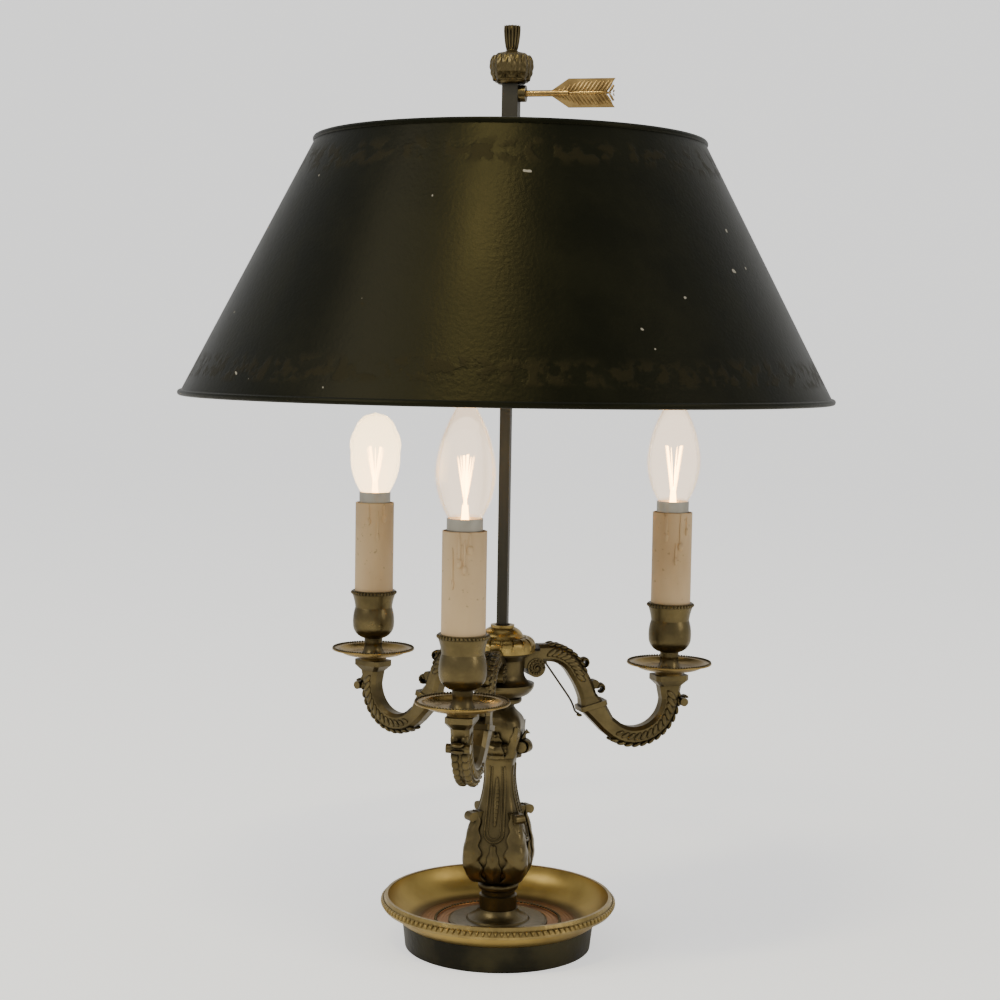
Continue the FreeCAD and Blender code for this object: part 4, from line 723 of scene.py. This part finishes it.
# The bulbs have bayonet caps of dull nickelled brass, thin clear glass with a warm tint,
# and long glowing filaments. The left one glows brighter, as in the photograph.
nickel = finish("cap_nickel")
cap_nickel = nickel.surface(
    base_color=nickel.mix(nickel.noise(90), (0.34, 0.31, 0.25), (0.5, 0.47, 0.4)),
    metallic=1.0,
    roughness=0.32,
)
dress(cap_nickel, *three("bulb_cap"))
tint = finish("bulb_glass")
bulb_glass = tint.surface(
    base_color=tint.mix(tint.noise(30), (1.0, 0.9, 0.72), (1.0, 0.95, 0.84)),
    roughness=0.02,
    transmission_weight=1.0,
    ior=1.12,
    alpha=0.4,
    emission_color=tint.mix(tint.noise(20), (1.0, 0.48, 0.13), (1.0, 0.58, 0.22)),
    emission_strength=0.42,
)
dress(bulb_glass, "bulb_front", "bulb_right")
bright = finish("bright_glass")
bright_glass = bright.surface(
    base_color=(1.0, 0.94, 0.8),
    roughness=0.1,
    transmission_weight=0.6,
    ior=1.12,
    alpha=0.62,
    emission_color=bright.mix(bright.noise(20), (1.0, 0.7, 0.34), (1.0, 0.84, 0.56)),
    emission_strength=1.5,
)
dress(bright_glass, "bulb_left")
glow = finish("filament_glow")
filament_glow = glow.surface(
    base_color=(1.0, 0.6, 0.2),
    roughness=0.5,
    emission_color=glow.mix(glow.noise(120), (1.0, 0.5, 0.14), (1.0, 0.62, 0.22)),
    emission_strength=16.0,
)
dress(filament_glow, *three("filaments"))
WIRE_HALF = 0.0135
WIRE_THICKNESS = 0.0004
for side, turn in ARM_TURNS.items():
    low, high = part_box(f"filaments_{side}")
    middle = (low + high) / 2
    wires = bmesh.new()
    for number in range(4):
        at = math.radians(turn + 45 + 90 * number)
        lean = Matrix.Rotation(at, 3, "Z") @ Matrix.Rotation(math.radians(10), 3, "Y")
        spot = around(at, 0.0034, high.z - WIRE_HALF, middle)
        bead(wires, 1, spot, (WIRE_THICKNESS, WIRE_THICKNESS, WIRE_HALF), lean)
    put(f"filament_wires_{side}", wires, filament_glow, "lamp")

# The square rod and the slider on it are dark steel, drawn lengthwise. The boss that the
# key goes through is bronze.
steel = finish("rod_steel")
drawn = steel.noise(60, 4, (1, 1, 0.1))
rod_steel = steel.surface(
    base_color=steel.mix(drawn, (0.035, 0.033, 0.026), (0.11, 0.1, 0.075)),
    metallic=0.9,
    roughness=0.36 + 0.15 * drawn,
    height=drawn,
    depth=0.0001,
)
dress(rod_steel, "square_rod", "slider")
dress(bronze, "finial", "key_boss")

# The finial is cast and turned bronze: a round cup of overlapping leaves, with a fluted
# plume that spreads towards its top.
FINIAL_OUTLINE = (
    (0, 0), (0.0088, 0), (0.0108, 0.0022), (0.0126, 0.007), (0.0134, 0.0125),
    (0.0121, 0.0172), (0.0092, 0.0196), (0.0048, 0.0206), (0.0033, 0.022), (0.0034, 0.026),
    (0.0042, 0.0325), (0.0049, 0.0372), (0, 0.0375),
)
LEAF_PAIRS = 9
FLUTES = 14
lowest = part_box("finial")[0]
cup = bmesh.new()
corners = [cup.verts.new((reach, 0, lowest.z + rise)) for reach, rise in FINIAL_OUTLINE]
lines = [cup.edges.new(pair) for pair in zip(corners, corners[1:])]
bmesh.ops.spin(
    cup, geom=corners + lines, cent=(0, 0, 0), axis=(0, 0, 1), angle=math.tau, steps=48,
    use_merge=True,
)
bmesh.ops.remove_doubles(cup, verts=cup.verts, dist=0.00001)
bmesh.ops.recalc_face_normals(cup, faces=cup.faces)
turned_cup = put("finial_cup", cup, bronze, "lamp")
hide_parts("finial")
bpy.context.view_layer.update()
bud = bmesh.new()
for number in range(LEAF_PAIRS):
    at = math.tau * number / LEAF_PAIRS
    cast_leaf(
        bud, "finial_cup", at, lowest.z + 0.0015, lowest.z + 0.019,
        width=0.0046, swell=0.001, curl=0.0006, lobes=4,
    )
    cast_leaf(
        bud, "finial_cup", at + math.tau / 18, lowest.z + 0.0055, lowest.z + 0.0198,
        width=0.003, swell=0.0005, curl=0.0003, lobes=3,
    )
for number in range(FLUTES):
    at = math.tau * number / FLUTES
    spin = Matrix.Rotation(at, 3, "Z") @ Matrix.Rotation(math.radians(6.5), 3, "Y")
    bead(bud, 1, around(at, 0.0042, lowest.z + 0.0295), (0.001, 0.00085, 0.0084), spin)
put("finial_leaves", bud, bronze, "lamp")

# The key is a gilt casting shaped as the feathered end of an arrow: slanting barbs stand on
# both its faces, above and below a rounded shaft.
arrow = bronze_finish(
    "key_gilt", scale=70, dull_and_shaded=(0.14, 0.08, 0.028), rubbed=(0.6, 0.4, 0.15),
    low=0.35, high=0.62,
)
dress(arrow, "arrow_key")
BARBS = 15
BARB_LEAN = math.radians(33)
FACE_OF_KEY = 0.0009
low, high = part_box("arrow_key")
shaft_height = (low.z + high.z) / 2
barbs = bmesh.new()
for face in (-1, 1):
    for half in (-1, 1):
        for step in range(BARBS):
            x = low.x + 0.0275 + 0.0026 * step
            tall = min(1, (step + 2.5) / 6.5) * (high.z - low.z) / 2 * 0.86
            lean = Matrix.Rotation(half * BARB_LEAN, 3, "Y")
            spot = (x + 0.26 * tall, face * FACE_OF_KEY, shaft_height + half * tall * 0.5)
            bead(barbs, 1, spot, (0.00085, 0.0006, tall * 0.56), lean)
    spot = ((low.x + high.x) / 2 + 0.0145, face * FACE_OF_KEY, shaft_height)
    bead(barbs, 1, spot, (0.0165, 0.0009, 0.0012))
# Whatever stands past the end of the key is cut off, and the cut beads are closed again.
past_end = [corner for corner in barbs.verts if corner.co.x > high.x - 0.0003]
bmesh.ops.delete(barbs, geom=past_end, context="VERTS")
bmesh.ops.holes_fill(barbs, edges=barbs.edges[:], sides=12)
put("key_barbs", barbs, arrow, "key")

# The shade is rolled sheet with wired edges, painted a green near to black. The paint is
# glossy where it is sound, browned and rubbed in a faint garland band near each edge, and
# chipped to pale metal in a few small places.
tole = finish("shade_paint")
mottle = tole.noise(26, 6, roughness=0.62)
wavy_height = tole.axis("Z") + 0.012 * tole.noise(14, 4)
low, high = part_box("shade_cone")


def band(start, full, fading, end):
    """1 inside the heights from full to fading, and 0 outside start to end."""
    return tole.ease(wavy_height, start, full) * (1 - tole.ease(wavy_height, fading, end))


top_band = band(high.z - 0.022, high.z - 0.014, high.z - 0.008, high.z)
low_band = band(low.z + 0.014, low.z + 0.018, low.z + 0.026, low.z + 0.034)
leafy = tole.ease(tole.noise(120, 4), 0.45, 0.6)
garland = (top_band + low_band) * leafy
chips = tole.ease(tole.noise(110, 1), 0.8, 0.81)
paint = tole.mix(tole.ease(mottle, 0.35, 0.7), (0.0022, 0.0034, 0.0022), (0.0055, 0.0064, 0.0034))
paint = tole.mix(garland * 0.6, paint, (0.016, 0.013, 0.006))
paint = tole.mix(chips, paint, (0.3, 0.28, 0.24))
shade_paint = tole.surface(
    base_color=paint,
    roughness=0.27 + 0.12 * mottle + 0.12 * garland,
    specular_ior_level=0.13,
    specular_tint=(1.0, 0.86, 0.45),
    height=tole.noise(420, 3) + garland,
    depth=0.00012,
)
dress(shade_paint, "shade_cone", "shade_top_hem", "shade_bottom_hem")
dress(plain_brass, "shade_spider")
